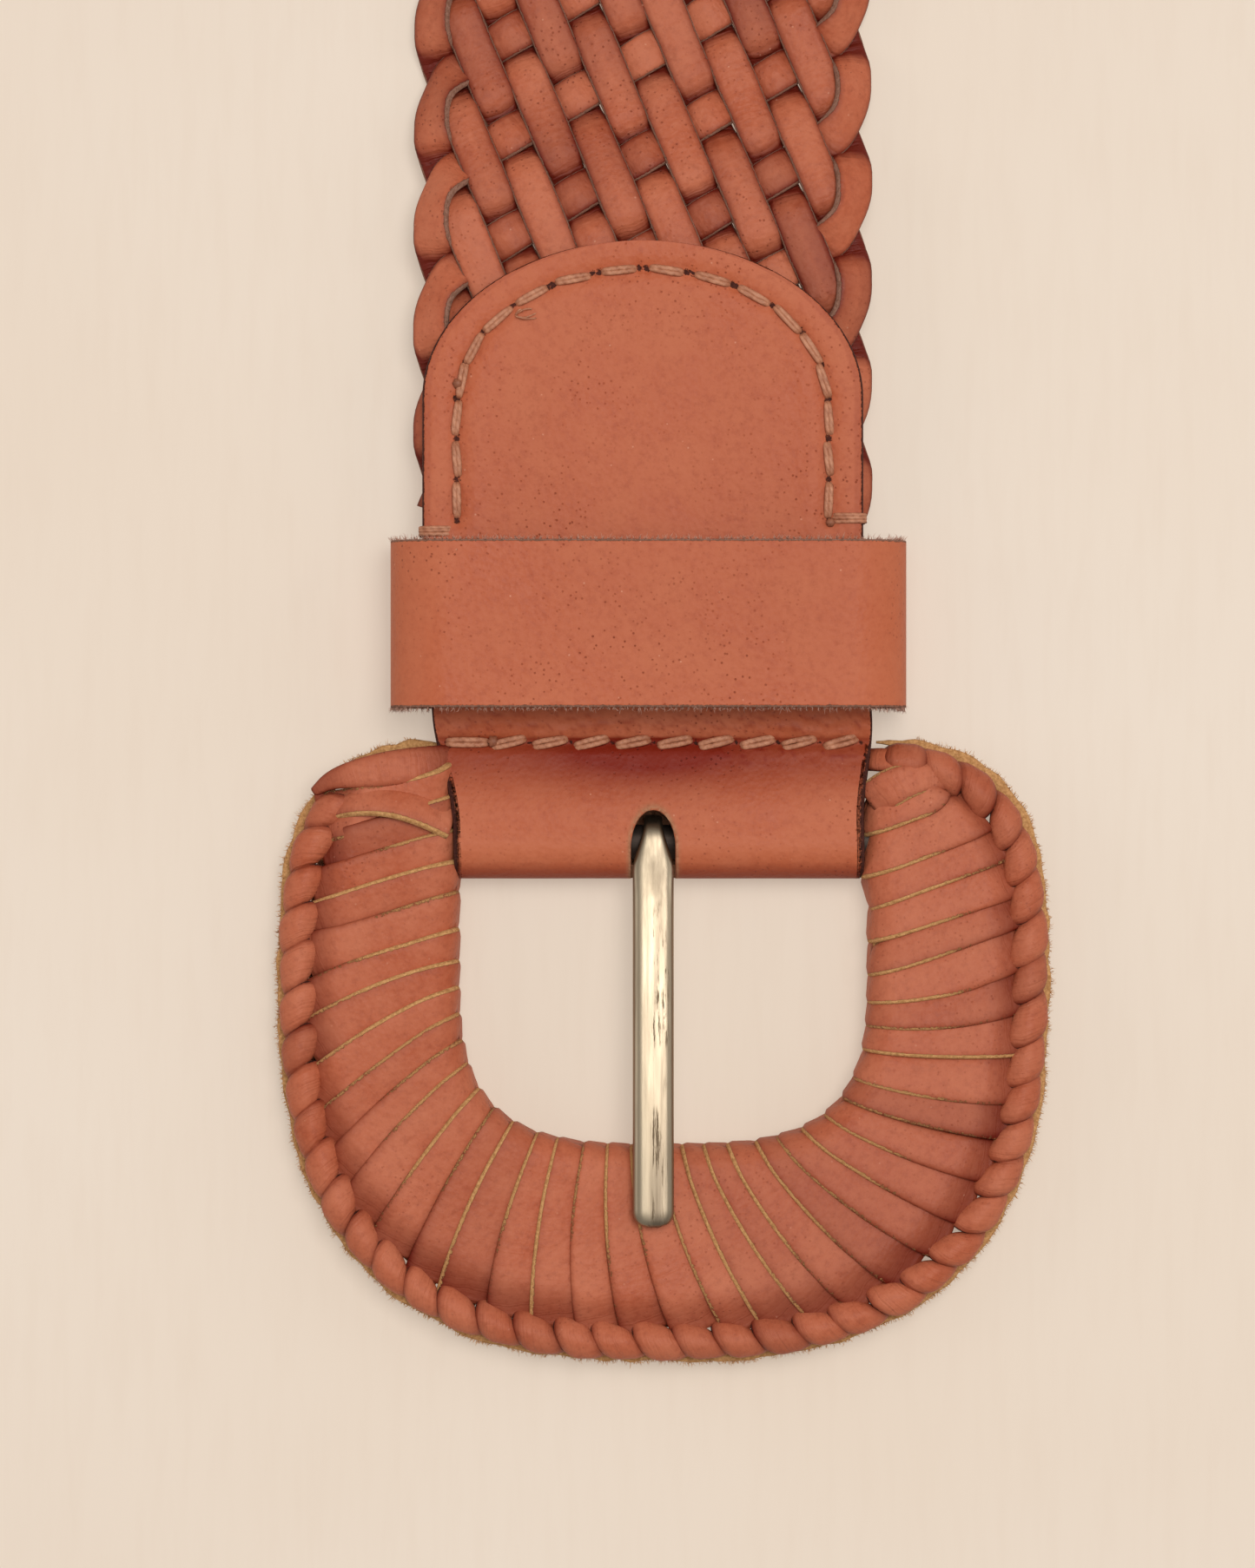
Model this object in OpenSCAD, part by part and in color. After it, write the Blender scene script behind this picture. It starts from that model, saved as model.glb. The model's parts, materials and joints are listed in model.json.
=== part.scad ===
// Woven leather belt with a lace-wrapped buckle. The buckle end lies flat and the rest of the strap is rolled up.
// X runs across the belt, Y runs along it from the buckle (-Y) towards the roll (+Y), and Z is up.
// The origin is on the surface that the belt rests on, straight below the middle of the buckle's bar.

/* [Buckle] */
// Width of the wrapped buckle over its edge lacing
buckle_w = 88.8; // [86:0.2:94]
// Distance from the bar to the buckle's front edge
buckle_front = 59.8; // [58:0.2:64]
// Distance from the bar back to the buckle's rear corners
buckle_back = 12; // [11:0.2:12.4]
// Clear width between the two limbs
window_w = 48.4; // [48.4:0.1:49]
// Distance from the bar to the front edge of the window
window_front = 35.5; // [33:0.1:36]
// Thickness of the frame's plate
core_t = 4.8; // [4:0.1:5.4]
// Diameter of the bar
bar_d = 4; // [3.6:0.1:4]

/* [Lacing] */
// Thickness of the lace wound round the plate, with its overlap
wrap_t = 1.8; // [1.5:0.1:1.8]
// Width of the hitched lace along the outer edge
edge_w = 4.4; // [3.8:0.1:5]
// Height of the hitched lace
edge_h = 5.6; // [4:0.1:7]

/* [Prong] */
// Width of the prong
prong_w = 4.7; // [4:0.1:4.7]
// Width of its curl round the bar
prong_root_w = 2.4; // [2:0.1:3.4]
// Thickness of the metal at the curl
prong_curl_t = 1.1; // [0.9:0.05:1.1]
// Thickness of the straight part
prong_t = 1.9; // [1.5:0.1:2.4]
// Distance from the bar to the tip
prong_reach = 44; // [40:0.5:50]
// Place of the prong across the belt
prong_x = -1.2; // [-2:0.1:2]

/* [Chape] */
// Width of the folded leather at its arched end
chape_w = 50.2; // [49:0.1:50.6]
// Distance from the bar to the top of the arch
chape_reach = 69; // [66:0.5:72]
// Length of the arched stretch
arch_len = 18; // [15:0.5:22]
// Thickness of one ply
ply = 1.5; // [1.2:0.05:1.5]
// Width of the prong's slot
slot_w = 5.2; // [5.2:0.1:5.6]
// How far the slot reaches behind the bar
slot_back = 4.2; // [4.2:0.1:4.6]
// Distance from the bar to the row of stitches across
row_y = 11.5; // [11:0.5:12]
// How far the strap runs off the buckle's middle
strap_x = -2.4; // [-2.6:0.1:-2.2]

/* [Keeper] */
// Outer width of the loop
keeper_w = 58.6; // [58:0.2:62]
// Length of the loop along the belt
keeper_len = 19; // [14:0.5:19.5]
// Place of the loop's middle
keeper_y = 25; // [25:0.5:26]
// Thickness of the loop's leather
keeper_t = 1.4; // [1.2:0.05:1.4]
// Height left over the chape for the belt's tail
tail_room = 4.3; // [4.2:0.1:6]

/* [Strap] */
// Width of the braid
strap_w = 51.6; // [50.8:0.1:53]
// Thickness of the braid
strap_t = 3.6; // [3.2:0.1:3.6]
// Length of the strap from the bar to the tip
strap_len = 1000; // [850:10:1100]
// Where the strap flexes between its flat end and the roll
flex_y = 107; // [105:1:110]
// Where the flat strap meets the roll
roll_y = 158; // [156:1:170]
// Distance from one turn of the roll to the next
roll_pitch = 4.4; // [4.3:0.1:5.5]
// Radius of the innermost turn, at the middle of the strap
roll_r_in = 14.3; // [13.5:0.1:20]
// Length of the tab on the tail's end
tip_len = 46; // [40:1:50]
// Thickness of each ply of the tab
tip_ply = 1.1; // [0.9:0.05:1.2]

/* [Thread] */
// Thickness of the sewing thread
thread_t = 0.35; // [0.25:0.05:0.35]
// Width of the doubled thread
thread_w = 0.9; // [0.6:0.1:1.2]
// Distance from one stitch to the next
stitch_pitch = 4.7; // [4.2:0.1:6]

/* [Hidden] */
$fn = 64;

leather = [0.72, 0.40, 0.28];
raw_edge = [0.74, 0.57, 0.35];
thread = [0.67, 0.45, 0.36];
gold = [0.86, 0.80, 0.66];
steel = [0.62, 0.62, 0.64];

cut = 400;                 // longer than anything that is cut
running = 0.05;            // radial play of the prong on the bar

frame_t = core_t + 2 * wrap_t;
axis_z = frame_t / 2;
fold_r = frame_t / 2;
fold_end_w = 46.8;         // the fold between the two limbs
fold_x = -0.5;             // middle of the fold

// The chape stands clear of the ground by the loop's back, its play and the thread under the chape.
lift = keeper_t + thread_t + 0.35;
inner_z = lift + ply;
chape_top = inner_z + strap_t + ply;
row_top = lift + 2 * ply + 1.3;
rest_end = 2;              // where the fold leaves the ground
lift_end = 10.5;           // where the chape is fully lifted
plump_end = 21;            // where the packing reaches full thickness
arch_y = chape_reach - arch_len;

filler_y = row_y + 1.2;
braid_y = 37;              // where the braid ends between the plies
drop_y = chape_reach + 1;  // where the braid leaves the chape
ground_y = 92;             // where the braid reaches the ground

keeper_x = -1.75;
keeper_top = chape_top + thread_t + tail_room + keeper_t;
keeper_low_r = 4.4;        // outer corners of the loop
keeper_high_r = 6.5;
seam_w = 0.3;              // gap between the loop's butted ends
staple = [8, 0.9, 0.35];

// Rise from 0 to 1 with level ends.
function ease(t) = let (u = min(1, max(0, t))) u * u * (3 - 2 * u);
function rise(y, from, to) = ease((y - from) / (to - from));
function arc(c, r, a0, a1, n = 12) =
    [for (i = [0:n]) let (a = a0 + (a1 - a0) * i / n) c + r * [cos(a), sin(a)]];
function reversed(list) = [for (i = [len(list) - 1:-1:0]) list[i]];
function mirrored(list) = [for (p = reversed(list)) [-p.x, p.y]];

// A quarter of a superellipse from (a, 0) round to (0, b).
function quarter(a, b, power, n = 14) =
    [for (i = [0:n]) let (t = 90 * i / n) [a * pow(cos(t), 2 / power), b * pow(sin(t), 2 / power)]];

// The outlines of the buckle: its outer edge drawn in by inset, and its window grown by growth.
widest_y = -15;
shoulder_x = 20;
window_turn_y = -14;
function outer_side(inset) = concat(
    [for (p = reversed(quarter(buckle_w / 2 - inset, buckle_front + widest_y - inset, 2.7)))
        [p.x, widest_y - p.y]],
    [for (p = quarter(buckle_w / 2 - shoulder_x - inset, buckle_back - widest_y - inset, 3))
        [shoulder_x + p.x, widest_y + p.y]]);
module outer_shape(inset) {
    side = outer_side(inset);
    polygon(concat(side, mirrored(side)));
}
function window_side(growth) = concat(
    [for (p = reversed(quarter(window_w / 2 + growth, window_front + window_turn_y + growth, 3.2)))
        [p.x, window_turn_y - p.y]],
    [[window_w / 2 + growth, 2]]);
module window_shape(growth) {
    side = window_side(growth);
    top = buckle_back + 5;
    flare = [[24.7 + growth, row_y], [24.7 + growth, top], [-26.4 - growth, top], [-26.4 - growth, row_y]];
    polygon(concat(side, flare, mirrored(side)));
}
module plate(low, high) translate([0, 0, low]) linear_extrude(high - low) children();
module limbs(inset, growth) difference() {
    outer_shape(inset);
    window_shape(growth);
}
module bar_hole(d) translate([0, 0, axis_z]) rotate([0, 90, 0]) cylinder(d = d, h = bar_len, center = true);
bar_len = window_w + 2 * wrap_t + 8;

module buckle_frame() color(steel) difference() {
    plate(wrap_t, wrap_t + core_t) limbs(edge_w + wrap_t, wrap_t);
    bar_hole(bar_d);
}

module buckle_bar() color(steel) bar_hole(bar_d);

module wrap_lace() color(leather) difference() {
    plate(0, frame_t) limbs(edge_w, 0);
    plate(wrap_t, wrap_t + core_t) limbs(edge_w + wrap_t, wrap_t);
    bar_hole(bar_d + 0.2);
}

module edge_lace() color(leather) plate(axis_z - edge_h / 2, axis_z + edge_h / 2) difference() {
    limbs(0, 0);
    outer_shape(edge_w);
}

// A side view drawn in Y and Z, given its width along X.
module across(w, x = 0) translate([x - w / 2, 0, 0]) rotate([90, 0, 90]) linear_extrude(w) children();

curl_in = bar_d / 2 + running;
curl_out = curl_in + prong_curl_t;
prong_low = frame_t + 0.1; // underside of the prong where it lies over the frame
module prong() color(gold) {
    across(prong_root_w, prong_x) translate([0, axis_z]) difference() {
        circle(curl_out);
        circle(curl_in);
    }
    intersection() {
        across(prong_w, prong_x) difference() {
            polygon([[0, axis_z + curl_out], [-4, 8.1], [-10, 8.1 + 0.6 * prong_t], [-33, prong_low + prong_t],
                     [-prong_reach + 1.5, prong_low + prong_t], [-prong_reach, prong_low + 0.7 * prong_t],
                     [-prong_reach, prong_low], [-34, prong_low], [-10, 7.2], [0, axis_z + curl_in],
                     [0, axis_z + curl_out]]);
            translate([0, axis_z]) circle(curl_in);
        }
        plate(0, 20) translate([prong_x, 0]) polygon(concat(
            [[prong_root_w / 2, 1], [prong_root_w / 2, -0.5], [prong_w / 2, -4.5]],
            arc([prong_w / 2 - 1.6, 1.6 - prong_reach], 1.6, 0, -90, 6),
            arc([1.6 - prong_w / 2, 1.6 - prong_reach], 1.6, -90, -180, 6),
            [[-prong_w / 2, -4.5], [-prong_root_w / 2, -0.5], [-prong_root_w / 2, 1]]));
    }
}

// The chape seen from the side: its outer faces below and above, and the same faces one ply further in.
function low_face(y) = lift * rise(y, rest_end, lift_end);
function high_face(y) = frame_t - (frame_t - row_top) * rise(y, rest_end, row_y)
    + (chape_top - row_top) * rise(y, row_y, plump_end);
side_steps = concat([for (y = [0:1:plump_end]) y], [plump_end + 1, chape_reach]);
function low_line(up) = [for (y = side_steps) [y, low_face(y) + up]];
function high_line(up) = [for (y = side_steps) [y, high_face(y) + up]];
module chape_side() polygon(concat(
    reversed(low_line(0)), arc([0, axis_z], fold_r, 270, 90, 24), high_line(0),
    reversed(high_line(-ply)), arc([0, axis_z], fold_r - ply, 90, 270, 24), low_line(ply)));

// The chape seen from above. Its middle line runs off to one side, away from the fold.
function middle(y) = fold_x + (strap_x - fold_x) * rise(y, rest_end - 6, 37);
function half(y) = fold_end_w / 2 + (chape_w - fold_end_w) / 2 * rise(y, rest_end, row_y + 3);
plan_steps = [-6, 0, for (y = [2:2:38]) y];
function chape_edge(side, inset = 0) = [for (y = plan_steps) [middle(y) + side * (half(y) - inset), y]];
module chape_plan() polygon(concat(
    chape_edge(1),
    [for (p = quarter(chape_w / 2, arch_len, 2, 20)) [strap_x + p.x, arch_y + p.y]],
    [for (p = reversed(quarter(chape_w / 2, arch_len, 2, 20))) [strap_x - p.x, arch_y + p.y]],
    reversed(chape_edge(-1))));
module prong_slot() translate([prong_x, 0]) {
    translate([-slot_w / 2, -10]) square([slot_w, 10 + slot_back - slot_w / 2]);
    translate([0, slot_back - slot_w / 2]) circle(d = slot_w);
}

module chape() color(leather) difference() {
    intersection() {
        across(cut) chape_side();
        plate(-1, 20) chape_plan();
    }
    plate(-1, 20) prong_slot();
}

module chape_filler() color(raw_edge) intersection() {
    across(cut) polygon(concat(
        [for (y = [filler_y:2:plump_end + 3]) [y, low_face(y) + ply]], [[braid_y - 0.5, inner_z]],
        [[braid_y - 0.5, inner_z + strap_t]],
        [for (y = [plump_end + 3:-2:filler_y]) [y, high_face(y) - ply]]));
    plate(0, 20) polygon(concat(chape_edge(1, 0.8), reversed(chape_edge(-1, 0.8))));
}

// One stitch lying flat: a bar with round ends, its middle at the origin.
module stitch(len) {
    square([len - thread_w, thread_w], center = true);
    for (end = [-1, 1]) translate([end * (len - thread_w) / 2, 0]) circle(d = thread_w, $fn = 24);
}
stitch_len = stitch_pitch - 0.7;
seam_in = 3.7;             // distance of the seam from the chape's edge
seam_a = chape_w / 2 - seam_in - 0.5;
seam_b = arch_len - seam_in + 0.4;
side_stitches = 3;
arch_stitches = 12;
module seam() {
    for (side = [-1, 1], i = [0:side_stitches - 1])
        translate([strap_x + side * (seam_a + 0.4), arch_y - stitch_pitch * (i + 0.5)]) rotate(90) stitch(stitch_len);
    for (i = [0:arch_stitches - 1]) {
        t = 180 * (i + 0.5) / arch_stitches;
        place = [seam_a * cos(t), seam_b * sin(t)];
        run = [-seam_a * sin(t), seam_b * cos(t)];
        translate([strap_x, arch_y] + place) rotate(atan2(run.y, run.x)) stitch(stitch_len);
    }
}
module stitch_arch() color(thread) {
    plate(chape_top, chape_top + thread_t) seam();
    plate(lift - thread_t, lift) seam();
}

row_stitches = 10;
row_from = middle(row_y) - half(row_y) + 1;
row_step = (2 * half(row_y) - 2) / row_stitches;
module stitch_cross() color(thread) for (i = [0:row_stitches - 1]) translate([row_from + row_step * (i + 0.5), row_y]) {
    plate(row_top + 0.05, row_top + thread_t + 0.05) rotate(-7) stitch(stitch_len);
    plate(lift - thread_t, lift) rotate(7) stitch(stitch_len);
}

tack_in = seam_in - 0.6;   // the tacks stop beside the seam
module stitch_tacks() color(thread) for (side = [-1, 1]) {
    y = 36.4 + 0.75 * side;
    edge = middle(y) + side * half(y);
    translate([edge, y, 0]) mirror([side < 0 ? 1 : 0, 0, 0]) rotate([90, 0, 0]) linear_extrude(0.8, center = true) {
        translate([-tack_in, chape_top]) square([tack_in + thread_t, thread_t]);
        translate([0.02, lift - thread_t]) square([thread_t, chape_top - lift + 2 * thread_t]);
        translate([-tack_in, lift - thread_t]) square([tack_in + thread_t, thread_t]);
    }
}

// The loop's section: a flat tube with round corners, open at the butted ends below.
module loop_shape(inset) {
    w = keeper_w / 2 - inset;
    low = keeper_low_r - inset;
    high = keeper_high_r - inset;
    polygon(concat(
        arc([w - low, inset + low], low, -90, 0, 8),
        arc([w - high, keeper_top - inset - high], high, 0, 90, 12),
        arc([high - w, keeper_top - inset - high], high, 90, 180, 12),
        arc([low - w, inset + low], low, 180, 270, 8)));
}
module along(len, y) translate([0, y + len / 2, 0]) rotate([90, 0, 0]) linear_extrude(len) children();
module keeper_loop() color(leather) translate([keeper_x, 0, 0]) along(keeper_len, keeper_y) difference() {
    loop_shape(0);
    loop_shape(keeper_t);
    translate([-seam_w / 2, -1]) square([seam_w, keeper_t + 2]);
}
module keeper_staples() color(steel) for (side = [-1, 1])
    translate([keeper_x, keeper_y + side * keeper_len / 4, keeper_t + staple.z / 2]) cube(staple, center = true);

// The braid's underside drops from the chape to the ground.
function braid_low(y) = inner_z * (1 - rise(y, drop_y, ground_y));
braid_steps = concat([braid_y], [for (y = [drop_y:2:ground_y]) y]);
flex_z = strap_t / 2;
socket_cut = 1.5;          // how far the socket's end stays behind the flex line
module braid_flat() color(leather) intersection() {
    across(cut) difference() {
        polygon(concat(
            [for (y = braid_steps) [y, braid_low(y)]], [[flex_y - socket_cut, 0], [flex_y - socket_cut, strap_t]],
            [for (y = reversed(braid_steps)) [y, braid_low(y) + strap_t]]));
        translate([flex_y, flex_z]) circle(strap_t / 2 + running);
    }
    plate(-1, 20) translate([strap_x, 0]) polygon([
        [-23.6, braid_y], [-23.6, 43], [-strap_w / 2, 51], [-strap_w / 2, flex_y],
        [strap_w / 2, flex_y], [strap_w / 2, 51], [23.6, 43], [23.6, braid_y]]);
}

// The roll: a spiral whose length is what is left of the strap.
roll_len = strap_len - roll_y;
roll_r = sqrt(pow(roll_r_in, 2) + roll_len * roll_pitch / PI);
roll_turn = 360 * (roll_r - roll_r_in) / roll_pitch;
roll_z = roll_r + strap_t / 2;
tip_turn = tip_len / roll_r_in * 180 / PI;
tip_in = 1.2;              // how far the tab lies in from the spiral
tab_play = 0.15;           // gap under the tab's short straight steps
function roll_radius(a) = roll_r - roll_pitch * a / 360 - tip_in * rise(a, roll_turn - tip_turn - 60, roll_turn - tip_turn);
function roll_point(a, out) = [roll_y, roll_z] + (roll_radius(a) + out) * [sin(a), -cos(a)];
function roll_line(a0, a1, out, n) = [for (i = [0:n]) roll_point(a0 + (a1 - a0) * i / n, out)];
turn_steps = floor(roll_turn / 12);
module braid_roll() color(leather) across(strap_w, strap_x) {
    polygon(concat(
        [[flex_y, 0]], roll_line(0, roll_turn, strap_t / 2, turn_steps),
        reversed(roll_line(0, roll_turn, -strap_t / 2, turn_steps)), [[flex_y, strap_t]]));
    translate([flex_y, flex_z]) circle(strap_t / 2);
}

// The tab on the tail's end, in short steps whose width follows its round end.
tab_steps = 14;
tab_over = 2.6;            // how far the tab reaches past the braid's end
tab_round = 20;            // length of the rounded stretch
tab_a0 = roll_turn - tip_turn;
tab_a1 = roll_turn + tab_over / roll_r_in * 180 / PI;
function tab_half(i) = let (left = (tip_len + tab_over) * (1 - (i + 0.5) / tab_steps), u = max(0, 1 - left / tab_round))
    (strap_w / 2 - 0.4) * sqrt(1 - u * u);
module tab(from, to) for (i = [0:tab_steps - 1]) {
    a = tab_a0 + (tab_a1 - tab_a0) * i / tab_steps;
    b = tab_a0 + (tab_a1 - tab_a0) * (i + 1) / tab_steps;
    across(2 * tab_half(i), strap_x)
        polygon([roll_point(a, from), roll_point(b, from), roll_point(b, to), roll_point(a, to)]);
}
module tip_outer() color(leather) tab(strap_t / 2 + tab_play, strap_t / 2 + tab_play + tip_ply);
tip_inner_out = -strap_t / 2 - tab_play - tip_ply;
module tip_inner() color(leather) tab(tip_inner_out, tip_inner_out + tip_ply);

tip_stitches = 7;
module tip_stitch() color(thread) for (side = [-1, 1], i = [0:tip_stitches - 1]) {
    a = tab_a0 + tip_turn * (i + 0.6) / (tip_stitches + 3.4);
    across(thread_w, strap_x + side * (strap_w / 2 - seam_in)) polygon(concat(
        roll_line(a, a + 12, tip_inner_out - tab_play - thread_t, 1),
        reversed(roll_line(a, a + 12, tip_inner_out - tab_play, 1))));
}

buckle_frame();
buckle_bar();
wrap_lace();
edge_lace();
prong();
chape();
chape_filler();
stitch_arch();
stitch_cross();
stitch_tacks();
keeper_loop();
keeper_staples();
braid_flat();
braid_roll();
tip_outer();
tip_inner();
tip_stitch();
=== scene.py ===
"""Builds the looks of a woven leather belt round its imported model.

The belt's buckle end lies flat and the rest of its strap is rolled up.
X runs across the belt, Y runs from the buckle towards the roll, and Z is up.
The helpers work in millimetres and the meshes are made in metres.
"""
import json
import math

import bmesh
import bpy
import numpy as np
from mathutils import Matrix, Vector, noise


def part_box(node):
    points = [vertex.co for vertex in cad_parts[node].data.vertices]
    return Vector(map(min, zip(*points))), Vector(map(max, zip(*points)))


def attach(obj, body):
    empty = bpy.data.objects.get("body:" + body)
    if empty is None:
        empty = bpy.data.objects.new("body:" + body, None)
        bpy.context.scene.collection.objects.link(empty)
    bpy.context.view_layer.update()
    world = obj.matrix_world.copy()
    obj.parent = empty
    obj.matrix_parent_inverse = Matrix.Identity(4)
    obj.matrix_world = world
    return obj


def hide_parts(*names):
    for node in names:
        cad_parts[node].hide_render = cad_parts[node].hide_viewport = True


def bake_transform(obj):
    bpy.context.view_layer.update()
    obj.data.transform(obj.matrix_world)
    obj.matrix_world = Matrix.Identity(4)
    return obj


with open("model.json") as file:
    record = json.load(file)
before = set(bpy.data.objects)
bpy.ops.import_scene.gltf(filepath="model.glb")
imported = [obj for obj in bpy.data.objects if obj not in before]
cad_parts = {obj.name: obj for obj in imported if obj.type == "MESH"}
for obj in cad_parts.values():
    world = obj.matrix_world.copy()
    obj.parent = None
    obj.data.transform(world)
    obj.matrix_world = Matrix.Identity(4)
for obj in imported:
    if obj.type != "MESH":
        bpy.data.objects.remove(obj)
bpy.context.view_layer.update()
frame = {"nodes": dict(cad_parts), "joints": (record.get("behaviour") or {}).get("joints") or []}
MM = 0.001
SAME_POINT = 2e-7
rng = np.random.default_rng(7)

# ---------------------------------------------------------------- sizes, in millimetres


def box_mm(node):
    """The lowest and highest corner of a CAD node."""
    return [np.array(corner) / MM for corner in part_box(node)]


def joint_mm(name):
    """The point that a joint turns about."""
    return next(np.array(j["pos_m"]) / MM for j in frame["joints"] if j["name"] == name)


AXIS_Z = joint_mm("buckle_swivel")[2]
STRAP_LOW, STRAP_HIGH = box_mm("braid_flat")
STRAP_X = (STRAP_LOW[0] + STRAP_HIGH[0]) / 2
STRAP_W = STRAP_HIGH[0] - STRAP_LOW[0]
STRAP_T = 3.6
_, CHAPE_REACH, CHAPE_TOP = box_mm("chape")[1]
KEEPER_LOW, KEEPER_HIGH = box_mm("keeper_loop")
PRONG_LOW, PRONG_HIGH = box_mm("prong")
PRONG_X = (PRONG_LOW[0] + PRONG_HIGH[0]) / 2

PLY = 1.5
LIFT = 2.1
INNER_Z = LIFT + PLY
ROW_Y, ROW_TOP = 11.5, 6.4
REST_END, LIFT_END, PLUMP_END = 2.0, 10.5, 21.0
CHAPE_W, ARCH_LEN = 50.2, 18.0
ARCH_Y = CHAPE_REACH - ARCH_LEN
FOLD_W, FOLD_X = 46.8, -0.5
DROP_Y, GROUND_Y = 70.0, 92.0
STRAP_LEN, TIP_LEN = 1000.0, 46.0
ROLL_Y, ROLL_PITCH, ROLL_R_IN = 158.0, 4.4, 14.3
ROLL_R = math.sqrt(ROLL_R_IN**2 + (STRAP_LEN - ROLL_Y) * ROLL_PITCH / math.pi)
ROLL_Z = ROLL_R + STRAP_T / 2
# the tail's end is drawn in, so that its thicker tab clears the turn outside it
TIP_IN, TIP_IN_TURN = 1.2, 1.05

# ---------------------------------------------------------------- shape helpers


def ease(t):
    t = np.clip(t, 0, 1)
    return t * t * (3 - 2 * t)


def rise(y, start, end):
    """0 before start, 1 after end, and smooth between them."""
    return ease((np.asarray(y, float) - start) / (end - start))


def unit(v):
    return v / np.maximum(np.linalg.norm(v, axis=-1, keepdims=True), 1e-9)


def gaps(line):
    """How far each point of a line is along it."""
    steps = np.linalg.norm(np.diff(line, axis=0), axis=1)
    return np.concatenate([[0], np.cumsum(steps)])


def evenly(line, step):
    """The same line with its points about step apart."""
    along = gaps(line)
    places = np.linspace(0, along[-1], max(2, int(round(along[-1] / step)) + 1))
    return np.stack([np.interp(places, along, line[:, i]) for i in range(line.shape[1])], axis=1)


def bezier(p0, p1, p2, p3, n):
    t = np.linspace(0, 1, n)[:, None]
    return p0 * (1 - t) ** 3 + 3 * p1 * t * (1 - t) ** 2 + 3 * p2 * t * t * (1 - t) + p3 * t**3


def nearest(points, others):
    """The distance from each point to the nearest of the others."""
    batch = 4000
    result = np.empty(len(points))
    for start in range(0, len(points), batch):
        part = points[start:start + batch]
        result[start:start + batch] = np.sqrt(((part[:, None] - others[None]) ** 2).sum(2)).min(1)
    return result


def new_object(name, mesh, materials, smooth=True):
    piece = bpy.data.objects.new(name, mesh)
    bpy.context.scene.collection.objects.link(piece)
    for material in materials:
        mesh.materials.append(material)
    if smooth:
        mesh.shade_smooth()
    return piece


def corners_of(mesh):
    """A mesh's points, in metres, as rows of three."""
    co = np.empty(len(mesh.vertices) * 3)
    mesh.vertices.foreach_get("co", co)
    return co.reshape(-1, 3)


def set_mark(mesh, label, values):
    """Gives each point of a mesh a named number, which the materials read."""
    layer = mesh.attributes.get(label) or mesh.attributes.new(label, "FLOAT", "POINT")
    layer.data.foreach_set("value", np.asarray(values).astype(np.float32))


def skin_mesh(name, places, marks):
    """A closed skin through rings of points. places is rings by points by 3, in millimetres, and each ring's
    last point is its first. marks are named numbers for the points. Both ends are filled."""
    rows, cols = places.shape[:2]
    bm = bmesh.new()
    bmesh.ops.create_grid(bm, x_segments=cols - 1, y_segments=rows - 1, size=0.5)
    mesh = bpy.data.meshes.new(name)
    bm.to_mesh(mesh)
    bm.free()
    co = corners_of(mesh)
    col = np.rint((co[:, 0] + 0.5) * (cols - 1)).astype(int)
    row = np.rint((co[:, 1] + 0.5) * (rows - 1)).astype(int)
    mesh.vertices.foreach_set("co", (places[row, col] * MM).ravel())
    for label, values in marks.items():
        set_mark(mesh, label, np.broadcast_to(values, (rows, cols))[row, col])
    bm = bmesh.new()
    bm.from_mesh(mesh)
    bmesh.ops.remove_doubles(bm, verts=bm.verts, dist=SAME_POINT)
    ends = [e for e in bm.edges if e.is_boundary]
    bmesh.ops.holes_fill(bm, edges=ends, sides=0)
    bmesh.ops.recalc_face_normals(bm, faces=bm.faces)
    bm.to_mesh(mesh)
    bm.free()
    return mesh


def join_meshes(name, meshes):
    """One mesh from several, with their marks."""
    bm = bmesh.new()
    for mesh in meshes:
        bm.from_mesh(mesh)
    whole = bpy.data.meshes.new(name)
    bm.to_mesh(whole)
    bm.free()
    for mesh in meshes:
        bpy.data.meshes.remove(mesh)
    return whole


def lace_section(n=16, crown=0.12):
    """The outline of a flat lace of n points: across and up from -1 to 1, and how much of each point
    is cut edge and flesh side. crown is how much its grain side is domed."""
    turn = 2 * np.pi * np.arange(n + 1) / n
    across = np.sign(np.cos(turn)) * np.abs(np.cos(turn)) ** 0.42
    up = np.sign(np.sin(turn)) * np.abs(np.sin(turn)) ** 0.62
    up = up + crown * np.where(up > 0, 1 - across**2, -0.5 * (1 - across**2))
    cut = cut_at(across, 0.88, 0.07) * np.clip(1.5 - np.maximum(up, 0) * 1.3, 0, 1)
    flesh = np.clip(-up * 2, 0, 1)
    return across, up, cut, flesh


def cut_at(across, start, width):
    """1 on a lace's cut edges and 0 on its faces. It grows from start over width."""
    return np.clip((np.abs(across) - start) / width, 0, 1)


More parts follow.
